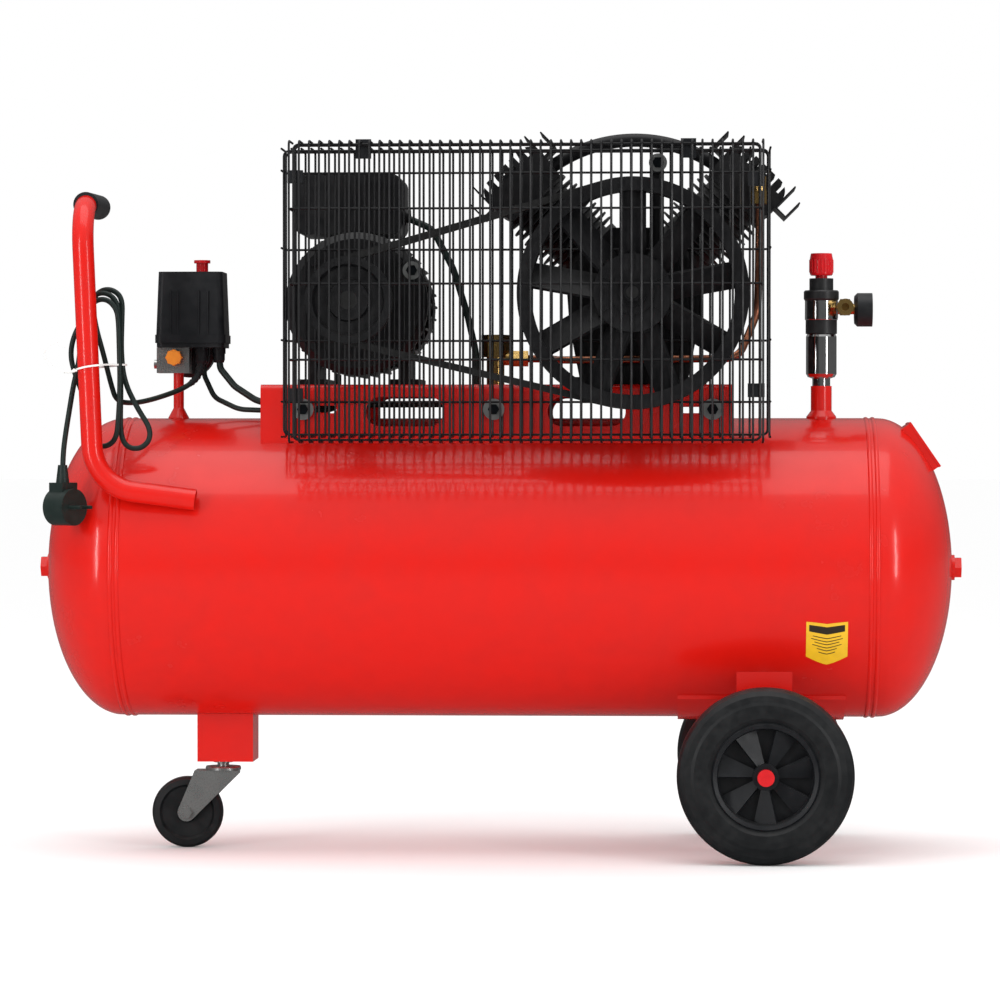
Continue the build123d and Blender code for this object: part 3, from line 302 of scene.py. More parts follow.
guard_front = mesh_piece("guard_wire_front", uprights(front) + rows_and_hoops(front))
holes = ((-187.0, 731.0, 41.5), (182.0, 740.0, 46.5))
rings = [ring_wire(x, rear["face"], z, r) for x, z, r in holes]
guard_rear = mesh_piece("guard_wire_rear", uprights(rear, holes) + rows_and_hoops(rear) + rings)
print("guard faces", len(guard_front.data.polygons), len(guard_rear.data.polygons))

# %% [markdown]
# Two stays hold the rear tray: a flat strap from the pump and a round post on the motor.
# The strap is a rounded bar section carried along a bent path; the post is a turned profile.


# %% Guard stays
def bar_section(width, thick, corner=1.2, count=5):
    """A flat bar's outline with rounded corners, as four quarter circles joined up."""
    quarter = np.linspace(0, np.pi / 2, count)
    cx, cy = width / 2 - corner, thick / 2 - corner
    arcs = [np.stack([sx * cx + corner * np.cos(quarter + turn),
                      sy * cy + corner * np.sin(quarter + turn)], axis=1)
            for sx, sy, turn in ((1, 1, 0.0), (-1, 1, np.pi / 2), (-1, -1, np.pi), (1, -1, 1.5 * np.pi))]
    return np.concatenate(arcs)


strap_path = rounded([(214, -109, 924), (214, -109, 778.5), (214, -94.5, 778.5)], 5.0, 6)
strap = carried(bar_section(3.8, 16.0), strap_path, (1.0, 0.0, 0.0))
post = turned([(4.2, -113), (6.0, -113), (7.0, -111.5), (7.0, -76.0), (6.0, -75.2), (4.2, -75.2)], 32)
post = np.stack([post[..., 0] - 110.0, post[..., 2], 773.0 - post[..., 1]], axis=-1)
stays = mesh_piece("guard_stays", [strap, post])
print("stays", len(stays.data.polygons), "faces")

# %% [markdown]
# A white nylon tie holds the hank to the handle. It is a thin flat strip: it goes round in
# front of the tube and behind the cord, and its cut-off tail curls away to the left.


# %% Cable tie
def strip_along(points, width, thick, count=90):
    """A thin strip on a smooth closed-form path: the points are blended with a cubic rule.

    Catmull-Rom weights of four neighbouring points give each place along the path."""
    points = np.asarray(points, float)
    padded = np.vstack([2 * points[0] - points[1], points, 2 * points[-1] - points[-2]])
    place = np.linspace(0, len(points) - 1.0001, count)
    first = place.astype(int)
    t = (place - first)[:, None]
    a, b, c, d = (padded[first + k] for k in range(4))
    path = 0.5 * (2 * b + (c - a) * t + (2 * a - 5 * b + 4 * c - d) * t**2
                  + (3 * b - a - 3 * c + d) * t**3)
    along = unit(np.gradient(path, axis=0))
    up = unit(np.array([0.0, 0.0, 1.0]) - along * along[:, 2:3])
    side = np.cross(along, up)
    flat = bar_section(width, thick, thick * 0.45, 3)
    return path[:, None, :] + flat[None, :, :1] * up[:, None, :] + flat[None, :, 1:] * side[:, None, :]


tie_loop = [(-550, -184, 639), (-540, -205, 642), (-527, -209, 645), (-512, -203, 647), (-500, -185, 648),
            (-484, -168, 648), (-485, -151.5, 648), (-510, -150, 646), (-545, -150.5, 642), (-563, -156, 639),
            (-562, -170, 638), (-552, -186, 638), (-541, -206, 640)]
tie_tail = [(-541, -207, 640), (-553, -204, 639), (-570, -200, 642), (-583, -197, 655), (-584, -196, 668),
            (-573, -197, 676), (-556, -199, 671)]
head = turned([(0.4, -2.0), (2.4, -2.0), (2.8, -1.6), (2.8, 1.6), (2.4, 2.0), (0.4, 2.0)], 4)
head = np.stack([head[..., 0] - 545.0, head[..., 2] - 204.5, head[..., 1] + 640.0], axis=-1)
tie = mesh_piece("cable_tie", [strip_along(tie_loop, 2.5, 0.9), strip_along(tie_tail, 2.3, 0.8), head])
print("tie", len(tie.data.polygons), "faces")

# %% [markdown]
# Where the cord leaves the switch, a ribbed rubber sleeve keeps it from kinking. It follows
# the cord's own line, and its radius falls from the gland outwards with small ribs on it.


# %% Strain relief on the cord
def sleeve_along(path, radii, count=20):
    """Circles of changing radius round a path, in millimetres; any fixed axis sets the start."""
    along = unit(np.gradient(path, axis=0))
    side = unit(np.cross(along, np.array([1.0, 0.0, 0.0])))
    other = np.cross(along, side)
    ring = circle(1.0, count)
    spread = side[:, None, :] * ring[None, :, :1] + other[:, None, :] * ring[None, :, 1:]
    return path[:, None, :] + spread * radii[:, None, None]


sleeve_start, sleeve_end = 7.0, 42.0
sleeve_r, sleeve_taper = 6.2, 2.3
rib_height, rib_halves, plain_share = 0.35, 12, 0.12
along_cord = np.concatenate([[0.0], np.cumsum(steps)]) / MM
sleeve_at = np.linspace(sleeve_start, sleeve_end, 71)
sleeve_path = np.stack([np.interp(sleeve_at, along_cord, line[:, k] / MM) for k in range(3)], axis=1)
share = (sleeve_at - sleeve_at[0]) / (sleeve_at[-1] - sleeve_at[0])
ribs = rib_height * np.sin(share * np.pi * rib_halves) * (share > plain_share)
sleeve = sleeve_along(sleeve_path, sleeve_r - sleeve_taper * share + ribs)
relief = mesh_piece("switch_strain_relief", [sleeve])
print("relief from", np.round(sleeve_path[0]), "to", np.round(sleeve_path[-1]))

# %% [markdown]
# The two pressure gauges get a printed dial and a domed lens. The dial is a flat disc and the
# lens a shallow cap: its height is highest in the middle and falls with the radius squared.


# %% Gauge dials and lenses
def facing(grid, origin, axis):
    """Turns a grid drawn facing +Z so that it faces +X or +Y, and moves it to origin."""
    x, y, z = grid[..., 0], grid[..., 1], grid[..., 2]
    turned_grid = np.stack([z, x, y], axis=-1) if axis == "x" else np.stack([-x, z, y], axis=-1)
    return turned_grid + np.asarray(origin, float)


def dial_and_lens(name, radius, deep, origin, axis):
    """A dial just above the cup's floor, and a closed thin lens seated in its rim."""
    face, rim = deep - 3.95, radius - 3.1
    disc = turned([(0.2, face), (rim - 0.5, face), (rim, face - 0.02)])
    share = np.linspace(0.0, 1.0, 9)
    outer = np.stack([0.2 + (rim - 0.2) * share, deep - 0.9 + 0.8 * (1 - share**2)], axis=1)
    inner = outer[::-1] - np.array([0.0, 0.6])
    dial = mesh_piece(name + "_dial", [facing(disc[::-1], origin, axis)], caps=True)
    lens = mesh_piece(name + "_lens", [facing(turned(np.vstack([inner[::-1], outer[::-1]])), origin, axis)])
    return dial, lens


tank_dial, tank_lens = dial_and_lens("tank_gauge", 36.0, 24.0, (-426, 46, 671), "y")
outlet_dial, outlet_lens = dial_and_lens("outlet_gauge", 22.5, 24.0, (476, 0, 724), "x")
print("lenses", len(tank_lens.data.polygons), len(outlet_lens.data.polygons))

# %% [markdown]
# A yellow label is stuck on the front of the tank. Paper on a drum follows its curve, so the
# grid is drawn in arc length: height along the label becomes an angle round the tank's axis.
# The outline is a square whose lower edge comes to a blunt point.


# %% Tank label
TANK_R, TANK_Z = 200.0, 379.0
columns, rows_count = 33, 33
u, v = np.meshgrid(np.linspace(-1, 1, columns), np.linspace(0, 1, rows_count), indexing="ij")
label_x, label_half, label_top, label_low = 434.0, 27.0, 314.0, 268.0
point = 11.0 * (1 - np.abs(u) ** 1.3)
dip = 3.0 * (1 - np.abs(u)) ** 1.2
height = (label_top - dip) * v + (label_low - point) * (1 - v)
angle = np.arcsin((height - TANK_Z) / TANK_R)
film = TANK_R + 0.25
label_grid = np.stack([label_x + label_half * u, -film * np.cos(angle),
                       TANK_Z + film * np.sin(angle)], axis=-1)
label = mesh_piece("tank_label", [label_grid], wrap=False, caps=False)
layer = label.data.uv_layers.new(name="print")
corner_vertex = np.zeros(len(label.data.loops), int)
label.data.loops.foreach_get("vertex_index", corner_vertex)
flat_uv = np.stack([(u + 1) / 2, v], axis=-1).reshape(-1, 2)
layer.data.foreach_set("uv", flat_uv[corner_vertex].astype(np.float32).ravel())
print("label faces", len(label.data.polygons))

# %% [markdown]
# Real finishes are never one flat colour. Three effects turn up on many of them: slow uneven
# tone with a dusty film, fine grain, and lines drawn out one way by brushing or rolling.
# Each is a node group, made once, that puts out a mask or a height for the material to use.


# %% Shared shader groups
def new_group(name, inputs, outputs):
    """An empty shader group with named float inputs and outputs."""
    group = bpy.data.node_groups.new(name, "ShaderNodeTree")
    for label_text, value in inputs:
        socket = group.interface.new_socket(label_text, in_out="INPUT", socket_type="NodeSocketFloat")
        socket.default_value = value
    for label_text in outputs:
        group.interface.new_socket(label_text, in_out="OUTPUT", socket_type="NodeSocketFloat")
    start, end = group.nodes.new("NodeGroupInput"), group.nodes.new("NodeGroupOutput")
    return group, start, end


def add(tree, kind, links=(), **settings):
    """Adds one node, sets its properties, and links (input, socket) pairs into it."""
    node = tree.nodes.new(kind)
    for key, value in settings.items():
        setattr(node, key, value)
    for target, source in links:
        if isinstance(source, (int, float, tuple)):
            node.inputs[target].default_value = source
        else:
            tree.links.new(source, node.inputs[target])
    return node


def calc(tree, operation, *values):
    """One Math node's result; each value is a number or another node's output."""
    return add(tree, "ShaderNodeMath", list(enumerate(values)), operation=operation).outputs[0]


def blended(tree, mask, first, second):
    """A colour that goes from first to second as the mask goes from 0 to 1."""
    return add(tree, "ShaderNodeMix", [(0, mask), (6, first), (7, second)], data_type="RGBA").outputs[2]


def ranged(tree, value, low, high):
    """A 0 to 1 value stretched to run from low to high."""
    return add(tree, "ShaderNodeMapRange", [("Value", value), ("To Min", low), ("To Max", high)]).outputs[0]


def noise(tree, where, scale, detail):
    """Cloudy noise: higher detail adds smaller clouds to the large ones."""
    node = add(tree, "ShaderNodeTexNoise", [("Vector", where), ("Scale", scale), ("Detail", detail)])
    return node.outputs[0]


def object_place(tree):
    """A point's place on the object itself, so a pattern stays on the part that moves."""
    return add(tree, "ShaderNodeTexCoord").outputs["Object"]


def new_material(name):
    """A material with nodes: itself, its node tree and its main shader."""
    material = bpy.data.materials.new(name)
    material.use_nodes = True
    return material, material.node_tree, material.node_tree.nodes["Principled BSDF"]


def tone_group():
    """Slow uneven tone: coarse noise plus finer noise, squeezed to a soft 0 to 1 mask."""
    group, start, end = new_group("uneven_tone", [("Scale", 12.0), ("Fine Scale", 90.0)], ["Mask", "Dust"])
    where = object_place(group)
    coarse = noise(group, where, start.outputs["Scale"], 4.0)
    fine = noise(group, where, start.outputs["Fine Scale"], 3.0)
    both = calc(group, "MULTIPLY", coarse, fine)
    soft = add(group, "ShaderNodeMapRange", [("Value", both), ("From Min", 0.14), ("From Max", 0.4)])
    normal = add(group, "ShaderNodeNewGeometry").outputs["Normal"]
    upward = add(group, "ShaderNodeSeparateXYZ", [(0, normal)])
    flat = add(group, "ShaderNodeMapRange", [
        ("Value", upward.outputs[2]), ("From Min", 0.4), ("From Max", 1.0)])
    group.links.new(soft.outputs[0], end.inputs["Mask"])
    group.links.new(calc(group, "MULTIPLY", flat.outputs[0], fine), end.inputs["Dust"])
    return group


def grain_group():
    """Fine grain: noise for sprayed or moulded skin, with round pits where cells are small."""
    group, start, end = new_group("fine_grain", [("Scale", 900.0), ("Pits", 0.3)], ["Height"])
    where, scale = object_place(group), start.outputs["Scale"]
    cells = add(group, "ShaderNodeTexVoronoi", [("Vector", where), ("Scale", scale)])
    pits = calc(group, "MULTIPLY", cells.outputs["Distance"], start.outputs["Pits"])
    group.links.new(calc(group, "ADD", noise(group, where, scale, 2.0), pits), end.inputs["Height"])
    return group


def lines_group():
    """Drawn lines: noise stretched along one axis, as brushing or drawing leaves it."""
    sizes = [("Along X", 40.0), ("Along Y", 900.0), ("Along Z", 900.0)]
    group, start, end = new_group("drawn_lines", sizes, ["Height"])
    scale = add(group, "ShaderNodeCombineXYZ", [(k, start.outputs[k]) for k in range(3)])
    place = add(group, "ShaderNodeVectorMath", [(0, object_place(group)), (1, scale.outputs[0])],
                operation="MULTIPLY")
    group.links.new(noise(group, place.outputs[0], 1.0, 2.0), end.inputs["Height"])
    return group


groups = {"tone": tone_group(), "grain": grain_group(), "lines": lines_group()}
print("shader groups", sorted(groups))

# %% [markdown]
# One builder makes the everyday finishes. Its two colours are blended by the uneven tone, a
# pale film lies on faces that look up, roughness moves with the same mask, and a small bump
# carries the grain. What differs from paint to rubber is only the numbers.


# %% The finish builder
DUST_COLOUR = (0.55, 0.53, 0.5, 1.0)


def finish(name, colour, second, rough, metallic=0.0, coat=0.0, coat_rough=0.05, tone=12.0, fine=90.0,
           grain=900.0, pits=0.3, bump=0.1, depth=0.0002, lines=None, dust=0.03, specular=0.3):
    """A material whose colour, roughness and bump all vary over the surface."""
    material, tree, shader = new_material(name)
    shader.inputs["Metallic"].default_value = metallic
    shader.inputs["Coat Weight"].default_value = coat
    shader.inputs["Coat Roughness"].default_value = coat_rough
    shader.inputs["Specular IOR Level"].default_value = specular
    uneven = add(tree, "ShaderNodeGroup", node_tree=groups["tone"])
    uneven.inputs["Scale"].default_value = tone
    uneven.inputs["Fine Scale"].default_value = fine
    skin = add(tree, "ShaderNodeGroup", node_tree=groups["grain"])
    skin.inputs["Scale"].default_value = grain
    skin.inputs["Pits"].default_value = pits
    mask = uneven.outputs["Mask"]
    mixed = blended(tree, mask, (*colour, 1.0), (*second, 1.0))
    dusty = blended(tree, calc(tree, "MULTIPLY", uneven.outputs["Dust"], dust), mixed, DUST_COLOUR)
    tree.links.new(dusty, shader.inputs["Base Color"])
    tree.links.new(ranged(tree, mask, rough[0], rough[1]), shader.inputs["Roughness"])
    height = skin.outputs["Height"]
    if lines:
        drawn = add(tree, "ShaderNodeGroup", node_tree=groups["lines"])
        for k in range(3):
            drawn.inputs[k].default_value = lines[k]
        height = calc(tree, "ADD", height, drawn.outputs[0])
    raised = add(tree, "ShaderNodeBump", [("Strength", bump), ("Distance", depth), ("Height", height)])
    tree.links.new(raised.outputs[0], shader.inputs["Normal"])
    return material


print("finish builder ready")

# %% [markdown]
# Paint: the tank and its brackets carry a thick glossy red enamel with a clear top, so it has
# a coat and the faint ripple called orange peel. The drive wears thinner black paint.

# %% Painted metal
paints = {
    "red_enamel": finish("red_enamel", (0.66, 0.008, 0.004), (0.61, 0.007, 0.0035), (0.2, 0.28), coat=0.3,
                         coat_rough=0.05, tone=4.0, fine=30.0, grain=160.0, pits=0.1, bump=0.04, dust=0.0,
                         specular=0.35),
    "black_enamel": finish("black_enamel", (0.005, 0.005, 0.006), (0.009, 0.009, 0.01), (0.3, 0.45),
                           grain=700.0, bump=0.12, dust=0.03),
    "casting_paint": finish("casting_paint", (0.006, 0.006, 0.007), (0.012, 0.012, 0.013), (0.34, 0.5),
                            grain=420.0, pits=0.6, bump=0.35, depth=0.0006, dust=0.05),
    "motor_paint": finish("motor_paint", (0.006, 0.006, 0.007), (0.012, 0.012, 0.013), (0.3, 0.46),
                          grain=650.0, bump=0.16, dust=0.05),
}
print("paints", len(paints))

# %% [markdown]
# Bare metal: zinc plate is a pale metal with a crystal mottle, turned brass and drawn copper
# keep fine lines from the tool, and copper darkens unevenly in air. Chrome is almost a mirror.

# %% Bare and plated metal
metals = {
    "zinc_plate": finish("zinc_plate", (0.6, 0.61, 0.6), (0.42, 0.43, 0.42), (0.22, 0.42), metallic=1.0,
                         tone=45.0, fine=400.0, bump=0.08, dust=0.1),
    "oiled_steel": finish("oiled_steel", (0.12, 0.12, 0.12), (0.06, 0.06, 0.06), (0.28, 0.42), metallic=1.0,
                          lines=(900, 40, 900), bump=0.1),
    "cast_alloy": finish("cast_alloy", (0.62, 0.62, 0.63), (0.5, 0.5, 0.51), (0.3, 0.45), metallic=1.0,
                         lines=(900, 900, 60), bump=0.1),
    "drawn_copper": finish("drawn_copper", (0.6, 0.24, 0.13), (0.3, 0.11, 0.07), (0.24, 0.42), metallic=1.0,
                           tone=30.0, lines=(900, 900, 40), bump=0.06),
    "turned_brass": finish("turned_brass", (0.7, 0.46, 0.16), (0.5, 0.31, 0.1), (0.2, 0.36), metallic=1.0,
                           tone=40.0, lines=(60, 900, 900), bump=0.06),
    "chrome_plate": finish("chrome_plate", (0.72, 0.72, 0.72), (0.6, 0.6, 0.6), (0.06, 0.14), metallic=1.0,
                           tone=20.0, bump=0.02, dust=0.02),
    "lacquered_winding": finish("lacquered_winding", (0.4, 0.13, 0.06), (0.2, 0.06, 0.03), (0.25, 0.4),
                                metallic=1.0, lines=(1200, 60, 1200), bump=0.5, depth=0.0005),
}
print("metals", len(metals))

# %% [markdown]
# Plastic and rubber: moulded parts have a spark-eroded grain, tyres a dull bloom, and the
# cord's jacket a soft sheen. The tie is plain white nylon.

# %% Plastic and rubber
plastics = {
    "moulded_black": finish("moulded_black", (0.008, 0.009, 0.011), (0.014, 0.015, 0.017), (0.34, 0.48),
                            grain=1400.0, bump=0.25, dust=0.05),
    "gloss_red": finish("gloss_red", (0.6, 0.008, 0.012), (0.48, 0.006, 0.01), (0.16, 0.26), coat=0.2,
                        grain=600.0, bump=0.04, dust=0.02),
    "orange_cap": finish("orange_cap", (0.85, 0.27, 0.02), (0.7, 0.19, 0.015), (0.28, 0.4), bump=0.08),
    "tyre_rubber": finish("tyre_rubber", (0.007, 0.008, 0.009), (0.013, 0.014, 0.015), (0.36, 0.55),
                          tone=25.0, grain=700.0, bump=0.2, dust=0.08),
    "grip_rubber": finish("grip_rubber", (0.009, 0.011, 0.013), (0.015, 0.018, 0.02), (0.42, 0.6),
                          grain=500.0, pits=0.8, bump=0.4, depth=0.0005, dust=0.05),
    "cord_jacket": finish("cord_jacket", (0.008, 0.016, 0.014), (0.014, 0.024, 0.021), (0.34, 0.48),
                          grain=1200.0, bump=0.1, dust=0.04),
    "belt_fabric": finish("belt_fabric", (0.008, 0.008, 0.008), (0.015, 0.015, 0.015), (0.55, 0.75),
                          grain=1500.0, pits=0.7, bump=0.4, lines=(300, 1500, 300), dust=0.03),
    "white_nylon": finish("white_nylon", (0.82, 0.82, 0.8), (0.74, 0.74, 0.71), (0.3, 0.42),
                          bump=0.05, dust=0.0),
}
print("plastics", len(plastics))

# %% [markdown]
# Clear and printed finishes are built by hand. Glass is a smooth shader that lets light
# through. A dial is white with a ring of ticks, found from the angle and the distance to its
# centre. The label is yellow with a dark band and a few bars, placed by its own UV map.


# %% Lens glass
def lens_glass():
    """Clear acrylic with faint dust that only changes its roughness."""
    material, tree, shader = new_material("lens_acrylic")
    shader.inputs["Base Color"].default_value = (0.95, 0.97, 0.97, 1.0)
    shader.inputs["Transmission Weight"].default_value = 1.0
    shader.inputs["IOR"].default_value = 1.45
    uneven = add(tree, "ShaderNodeGroup", node_tree=groups["tone"])
    tree.links.new(ranged(tree, uneven.outputs["Mask"], 0.02, 0.07), shader.inputs["Roughness"])
    return material


glass = lens_glass()
print("glass", glass.name)


# %% Printed dial
DIAL_PARTS = 40
TICK_SHARE = 0.13


def dial_print(name, centre, first, second, radius):
    """White face; ticks where the angle's saw wave is small, inside a ring near the rim."""
    material, tree, shader = new_material(name)
    local = add(tree, "ShaderNodeVectorMath", [(0, object_place(tree)), (1, centre)], operation="SUBTRACT")
    parts = add(tree, "ShaderNodeSeparateXYZ", [(0, local.outputs[0])])
    a, b = parts.outputs[first], parts.outputs[second]
    parts_round = calc(tree, "MULTIPLY", calc(tree, "ARCTAN2", a, b), DIAL_PARTS / (2 * math.pi))
    mask = calc(tree, "LESS_THAN", calc(tree, "PINGPONG", parts_round, 0.5), TICK_SHARE)
    far = add(tree, "ShaderNodeVectorMath", [(0, local.outputs[0])], operation="LENGTH").outputs["Value"]
    outside = calc(tree, "GREATER_THAN", far, radius * 0.74)
    inside = calc(tree, "LESS_THAN", far, radius * 0.9)
    not_below = calc(tree, "GREATER_THAN", b, -radius * 0.5)
    for other in (outside, inside, not_below):
        mask = calc(tree, "MULTIPLY", mask, other)
    uneven = add(tree, "ShaderNodeGroup", node_tree=groups["tone"])
    paper = blended(tree, uneven.outputs["Mask"], (0.85, 0.85, 0.83, 1), (0.78, 0.78, 0.76, 1))
    tree.links.new(blended(tree, mask, paper, (0.02, 0.02, 0.02, 1)), shader.inputs["Base Color"])
    shader.inputs["Roughness"].default_value = 0.5
    return material


tank_print = dial_print("tank_dial_print", (-0.426, 0.066, 0.671), 0, 2, 0.033)
outlet_print = dial_print("outlet_dial_print", (0.496, 0.0, 0.724), 1, 2, 0.0195)
print("dials", tank_print.name, outlet_print.name)


# %% Printed label
BAR_HEIGHT = 0.022


def between(tree, value, low, high):
    """1 where the value is between low and high, else 0."""
    above = calc(tree, "GREATER_THAN", value, low)
    return calc(tree, "MULTIPLY", above, calc(tree, "LESS_THAN", value, high))


def label_print():
    """Yellow film with a dark band near the top and thin bars below."""
    material, tree, shader = new_material("label_film")
    place = add(tree, "ShaderNodeUVMap", uv_map="print").outputs[0]
    parts = add(tree, "ShaderNodeSeparateXYZ", [(0, place)])
    across, up = parts.outputs[0], parts.outputs[1]

    def box(bottom, top, margin):
        upright = between(tree, up, bottom, top)
        return calc(tree, "MULTIPLY", upright, between(tree, across, margin, 1 - margin))

    print_mask = box(0.74, 0.92, 0.07)
    for low, margin in ((0.63, 0.16), (0.55, 0.12), (0.48, 0.2), (0.4, 0.15), (0.33, 0.26), (0.25, 0.3)):
        print_mask = calc(tree, "MAXIMUM", print_mask, box(low, low + BAR_HEIGHT, margin))
    uneven = add(tree, "ShaderNodeGroup", node_tree=groups["tone"])
    mask = uneven.outputs["Mask"]
    yellow = blended(tree, mask, (0.85, 0.5, 0.015, 1), (0.75, 0.43, 0.012, 1))
    tree.links.new(blended(tree, print_mask, yellow, (0.03, 0.02, 0.01, 1)), shader.inputs["Base Color"])
    tree.links.new(ranged(tree, mask, 0.3, 0.42), shader.inputs["Roughness"])
    return material


label_film = label_print()
print("label", label_film.name)

# %% [markdown]
# Three CAD nodes hold parts of different stuff. The axle is zinc-plated and its push-on caps
# are red plastic; the guard's screws have dark heads on pale washers; the regulator's black
# body has a chrome band. A mask made from height, or from distance along the bolt or axle,
# picks the stuff, so no mesh is touched.


# %% Finishes that change along a part
def banded(name, axis, low, high, absolute, outside, inside):
    """Two stuffs in one material: inside where the chosen coordinate is between low and high.

    Each stuff is (colour, darker colour, roughness, metallic)."""
    material, tree, shader = new_material(name)
    shader.inputs["Specular IOR Level"].default_value = 0.4
    place = add(tree, "ShaderNodeSeparateXYZ", [(0, object_place(tree))]).outputs[axis]
    if absolute:
        place = calc(tree, "ABSOLUTE", place)
    mask = between(tree, place, low, high)
    uneven = add(tree, "ShaderNodeGroup", node_tree=groups["tone"])
    uneven.inputs["Scale"].default_value = 40.0
    tones = [blended(tree, uneven.outputs["Mask"], (*stuff[0], 1.0), (*stuff[1], 1.0))
             for stuff in (outside, inside)]
    tree.links.new(blended(tree, mask, tones[0], tones[1]), shader.inputs["Base Color"])
    for socket, k in (("Roughness", 2), ("Metallic", 3)):
        tree.links.new(ranged(tree, mask, outside[k], inside[k]), shader.inputs[socket])
    return material


red_cap = ((0.62, 0.008, 0.012), (0.5, 0.006, 0.01), 0.25, 0.0)
zinc = ((0.6, 0.61, 0.6), (0.42, 0.43, 0.42), 0.32, 1.0)
chrome = ((0.75, 0.75, 0.75), (0.62, 0.62, 0.62), 0.1, 1.0)
black_band = ((0.012, 0.012, 0.013), (0.02, 0.02, 0.021), 0.4, 0.0)
black_oxide = ((0.03, 0.035, 0.04), (0.015, 0.017, 0.02), 0.35, 1.0)
two_stuffs = {
    "axle_and_caps": banded("axle_and_caps", 1, 0.2355, 1.0, True, zinc, red_cap),
    "bolt_and_washer": banded("bolt_and_washer", 1, -0.2, -0.1196, False, zinc, black_oxide),
    "regulator_bands": banded("regulator_bands", 2, 0.7105, 0.736, False, black_band, chrome),
}
print("banded finishes", sorted(two_stuffs))

# %% [markdown]
# Every CAD part now takes its finish. The lists read like a paint shop's job sheet: one
# material, then the parts that get it.

# %% Finishes for the CAD parts
job_sheet = {
    "red_enamel": "tank_shell tank_ends tank_fittings platform front_leg axle_bracket handle_tube",
    "black_enamel": "crossover_pipe",
    "casting_paint": "flywheel motor_pulley crankcase crankcase_cover cylinders cylinder_heads",
    "motor_paint": "motor_frame motor_end_shields motor_fan_cowl terminal_box",
    "zinc_plate": "caster_plate caster_fork switch_manifold",
    "oiled_steel": "crankshaft motor_rotor",
    "cast_alloy": "piston_left piston_right",
    "drawn_copper": "delivery_tube",
    "turned_brass": "check_valve outlet_elbow drain_valve oil_fittings",
    "chrome_plate": "regulator_bowl",
    "lacquered_winding": "motor_stator",
    "moulded_black": "switch_cover switch_base guard_clips intake_filters tank_gauge outlet_gauge"
                     " near_hub far_hub motor_fan",
    "gloss_red": "switch_knob regulator_knob tank_gauge_needle outlet_gauge_needle",
    "orange_cap": "safety_valve",
    "tyre_rubber": "near_tyre far_tyre caster_wheel",
    "grip_rubber": "handle_grip",
    "cord_jacket": "loom_cables mains_cord mains_hank mains_plug",
    "belt_fabric": "drive_belt",
    "axle_and_caps": "axle",
    "regulator_bands": "regulator_body",
    "bolt_and_washer": "guard_bolts",
}
finishes = {**paints, **metals, **plastics, **two_stuffs}
done = set()
for finish_name, names in job_sheet.items():
    for node_name in names.split():
        slots = nodes[node_name].data.materials
        for k in range(len(slots)):
            slots[k] = finishes[finish_name]
        done.add(node_name)
print("left without a finish:", sorted(set(nodes) - done))

# %% [markdown]
# The new pieces take their finishes, ride on the body they are fixed to, and stand in for the
# CAD solids that they replace.

# %% Place the new pieces
pieces = [
    (cord, "cord_jacket", "cable_rubber", ["mains_cord", "mains_hank"]),
    (guard_front, "black_enamel", "black_wire", ["guard_front_half"]),
    (guard_rear, "black_enamel", "black_wire", ["guard_rear_half"]),
    (stays, "black_enamel", "black_wire", []),
    (tie, "white_nylon", "black_plastic", []),
    (relief, "grip_rubber", "black_rubber", []),
]
for piece, finish_name, slot_name, replaced in pieces:
    piece.data.materials.append(finishes[finish_name])
    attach(piece, "root")
    if replaced:
        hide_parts(*replaced)
trim = [(tank_dial, tank_print), (outlet_dial, outlet_print), (tank_lens, glass),
        (outlet_lens, glass), (label, label_film)]
for piece, material in trim:
    piece.data.materials.append(material)
    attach(piece, "root")
print("pieces placed", len(pieces) + len(trim))

# %% [markdown]
# A plain studio: a white floor, a white world and three large soft lights. Big lights make
# the long soft reflections that show the enamel's gloss and the tank's roundness. A white room
# mirrored in red paint turns it pink, so both the floor and the sky are darker to mirror rays
# than they look. It costs bare metal some of its brightness.


# %% Floor and lights
LIGHT_POWER = 34.0
FLOOR_HALF = 60000.0
MIRRORED_FLOOR = (0.16, 0.16, 0.16, 1.0)


def soft_light(name, place, target, width, height):
    """A rectangular area light that looks at a target point, all in metres."""
    data = bpy.data.lights.new(name, "AREA")
    data.shape = "RECTANGLE"
    data.size, data.size_y, data.energy = width, height, LIGHT_POWER
    aimed(linked(name, data), place, target)


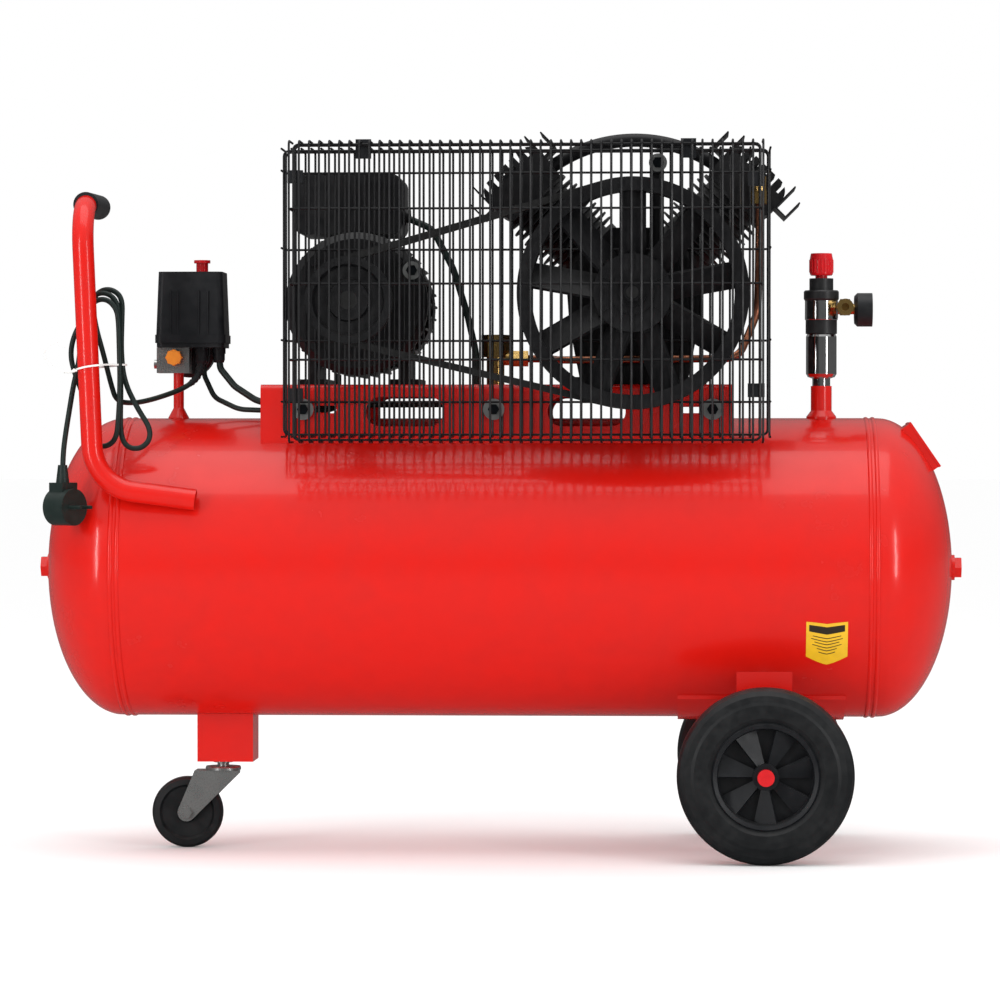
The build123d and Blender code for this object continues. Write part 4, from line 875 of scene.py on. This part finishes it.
def by_ray(tree, plain, mirror):
    """One shader for most rays, and another for the rays that a shiny surface sends out."""
    glossy = add(tree, "ShaderNodeLightPath").outputs["Is Glossy Ray"]
    return add(tree, "ShaderNodeMixShader", [(0, glossy), (1, plain), (2, mirror)]).outputs[0]


edge = np.linspace(-FLOOR_HALF, FLOOR_HALF, 5)
floor_u, floor_v = np.meshgrid(edge, edge, indexing="ij")
floor_grid = np.stack([floor_u, floor_v, 0 * floor_u], axis=-1)
floor = mesh_piece("floor", [floor_grid], wrap=False, caps=False)
paper = finish("floor_paper", (0.99, 0.99, 0.99), (0.98, 0.98, 0.98), (0.9, 1.0), bump=0.0, dust=0.0,
               specular=0.0)
paper_tree = paper.node_tree
dark_paper = add(paper_tree, "ShaderNodeBsdfDiffuse", [("Color", MIRRORED_FLOOR)])
paper_seen = by_ray(paper_tree, paper_tree.nodes["Principled BSDF"].outputs[0], dark_paper.outputs[0])
paper_tree.links.new(paper_seen, paper_tree.nodes["Material Output"].inputs["Surface"])
floor.data.materials.append(paper)
soft_light("left_box", (-2.4, -3.0, 0.9), (-0.3, 0, 0.45), 0.35, 2.6)
soft_light("right_box", (2.9, -3.0, 0.9), (0.3, 0, 0.45), 0.35, 2.6)
soft_light("top_box", (0.0, -0.6, 3.4), (0, 0, 0.4), 3.2, 2.4)
print("floor and lights set")

# %% World
world = bpy.data.worlds.new("studio")
bpy.context.scene.world = world
world.use_nodes = True
sky = world.node_tree
plain, mirror = sky.nodes["Background"], add(sky, "ShaderNodeBackground")
facing_ray = add(sky, "ShaderNodeTexCoord").outputs["Generated"]
up_part = add(sky, "ShaderNodeSeparateXYZ", [(0, facing_ray)]).outputs[2]
shade = add(sky, "ShaderNodeMapRange", [("Value", up_part), ("From Min", 0.1), ("From Max", 0.9),
                                        ("To Min", 0.1), ("To Max", 0.7)])
sky.links.new(shade.outputs[0], mirror.inputs["Strength"])
mirror.inputs["Color"].default_value = plain.inputs["Color"].default_value = (1.0, 1.0, 1.0, 1.0)
plain.inputs["Strength"].default_value = 1.0
sky_seen = by_ray(sky, plain.outputs[0], mirror.outputs[0])
sky.links.new(sky_seen, sky.nodes["World Output"].inputs["Surface"])
bpy.context.scene.view_settings.view_transform = "Standard"
print("world set")
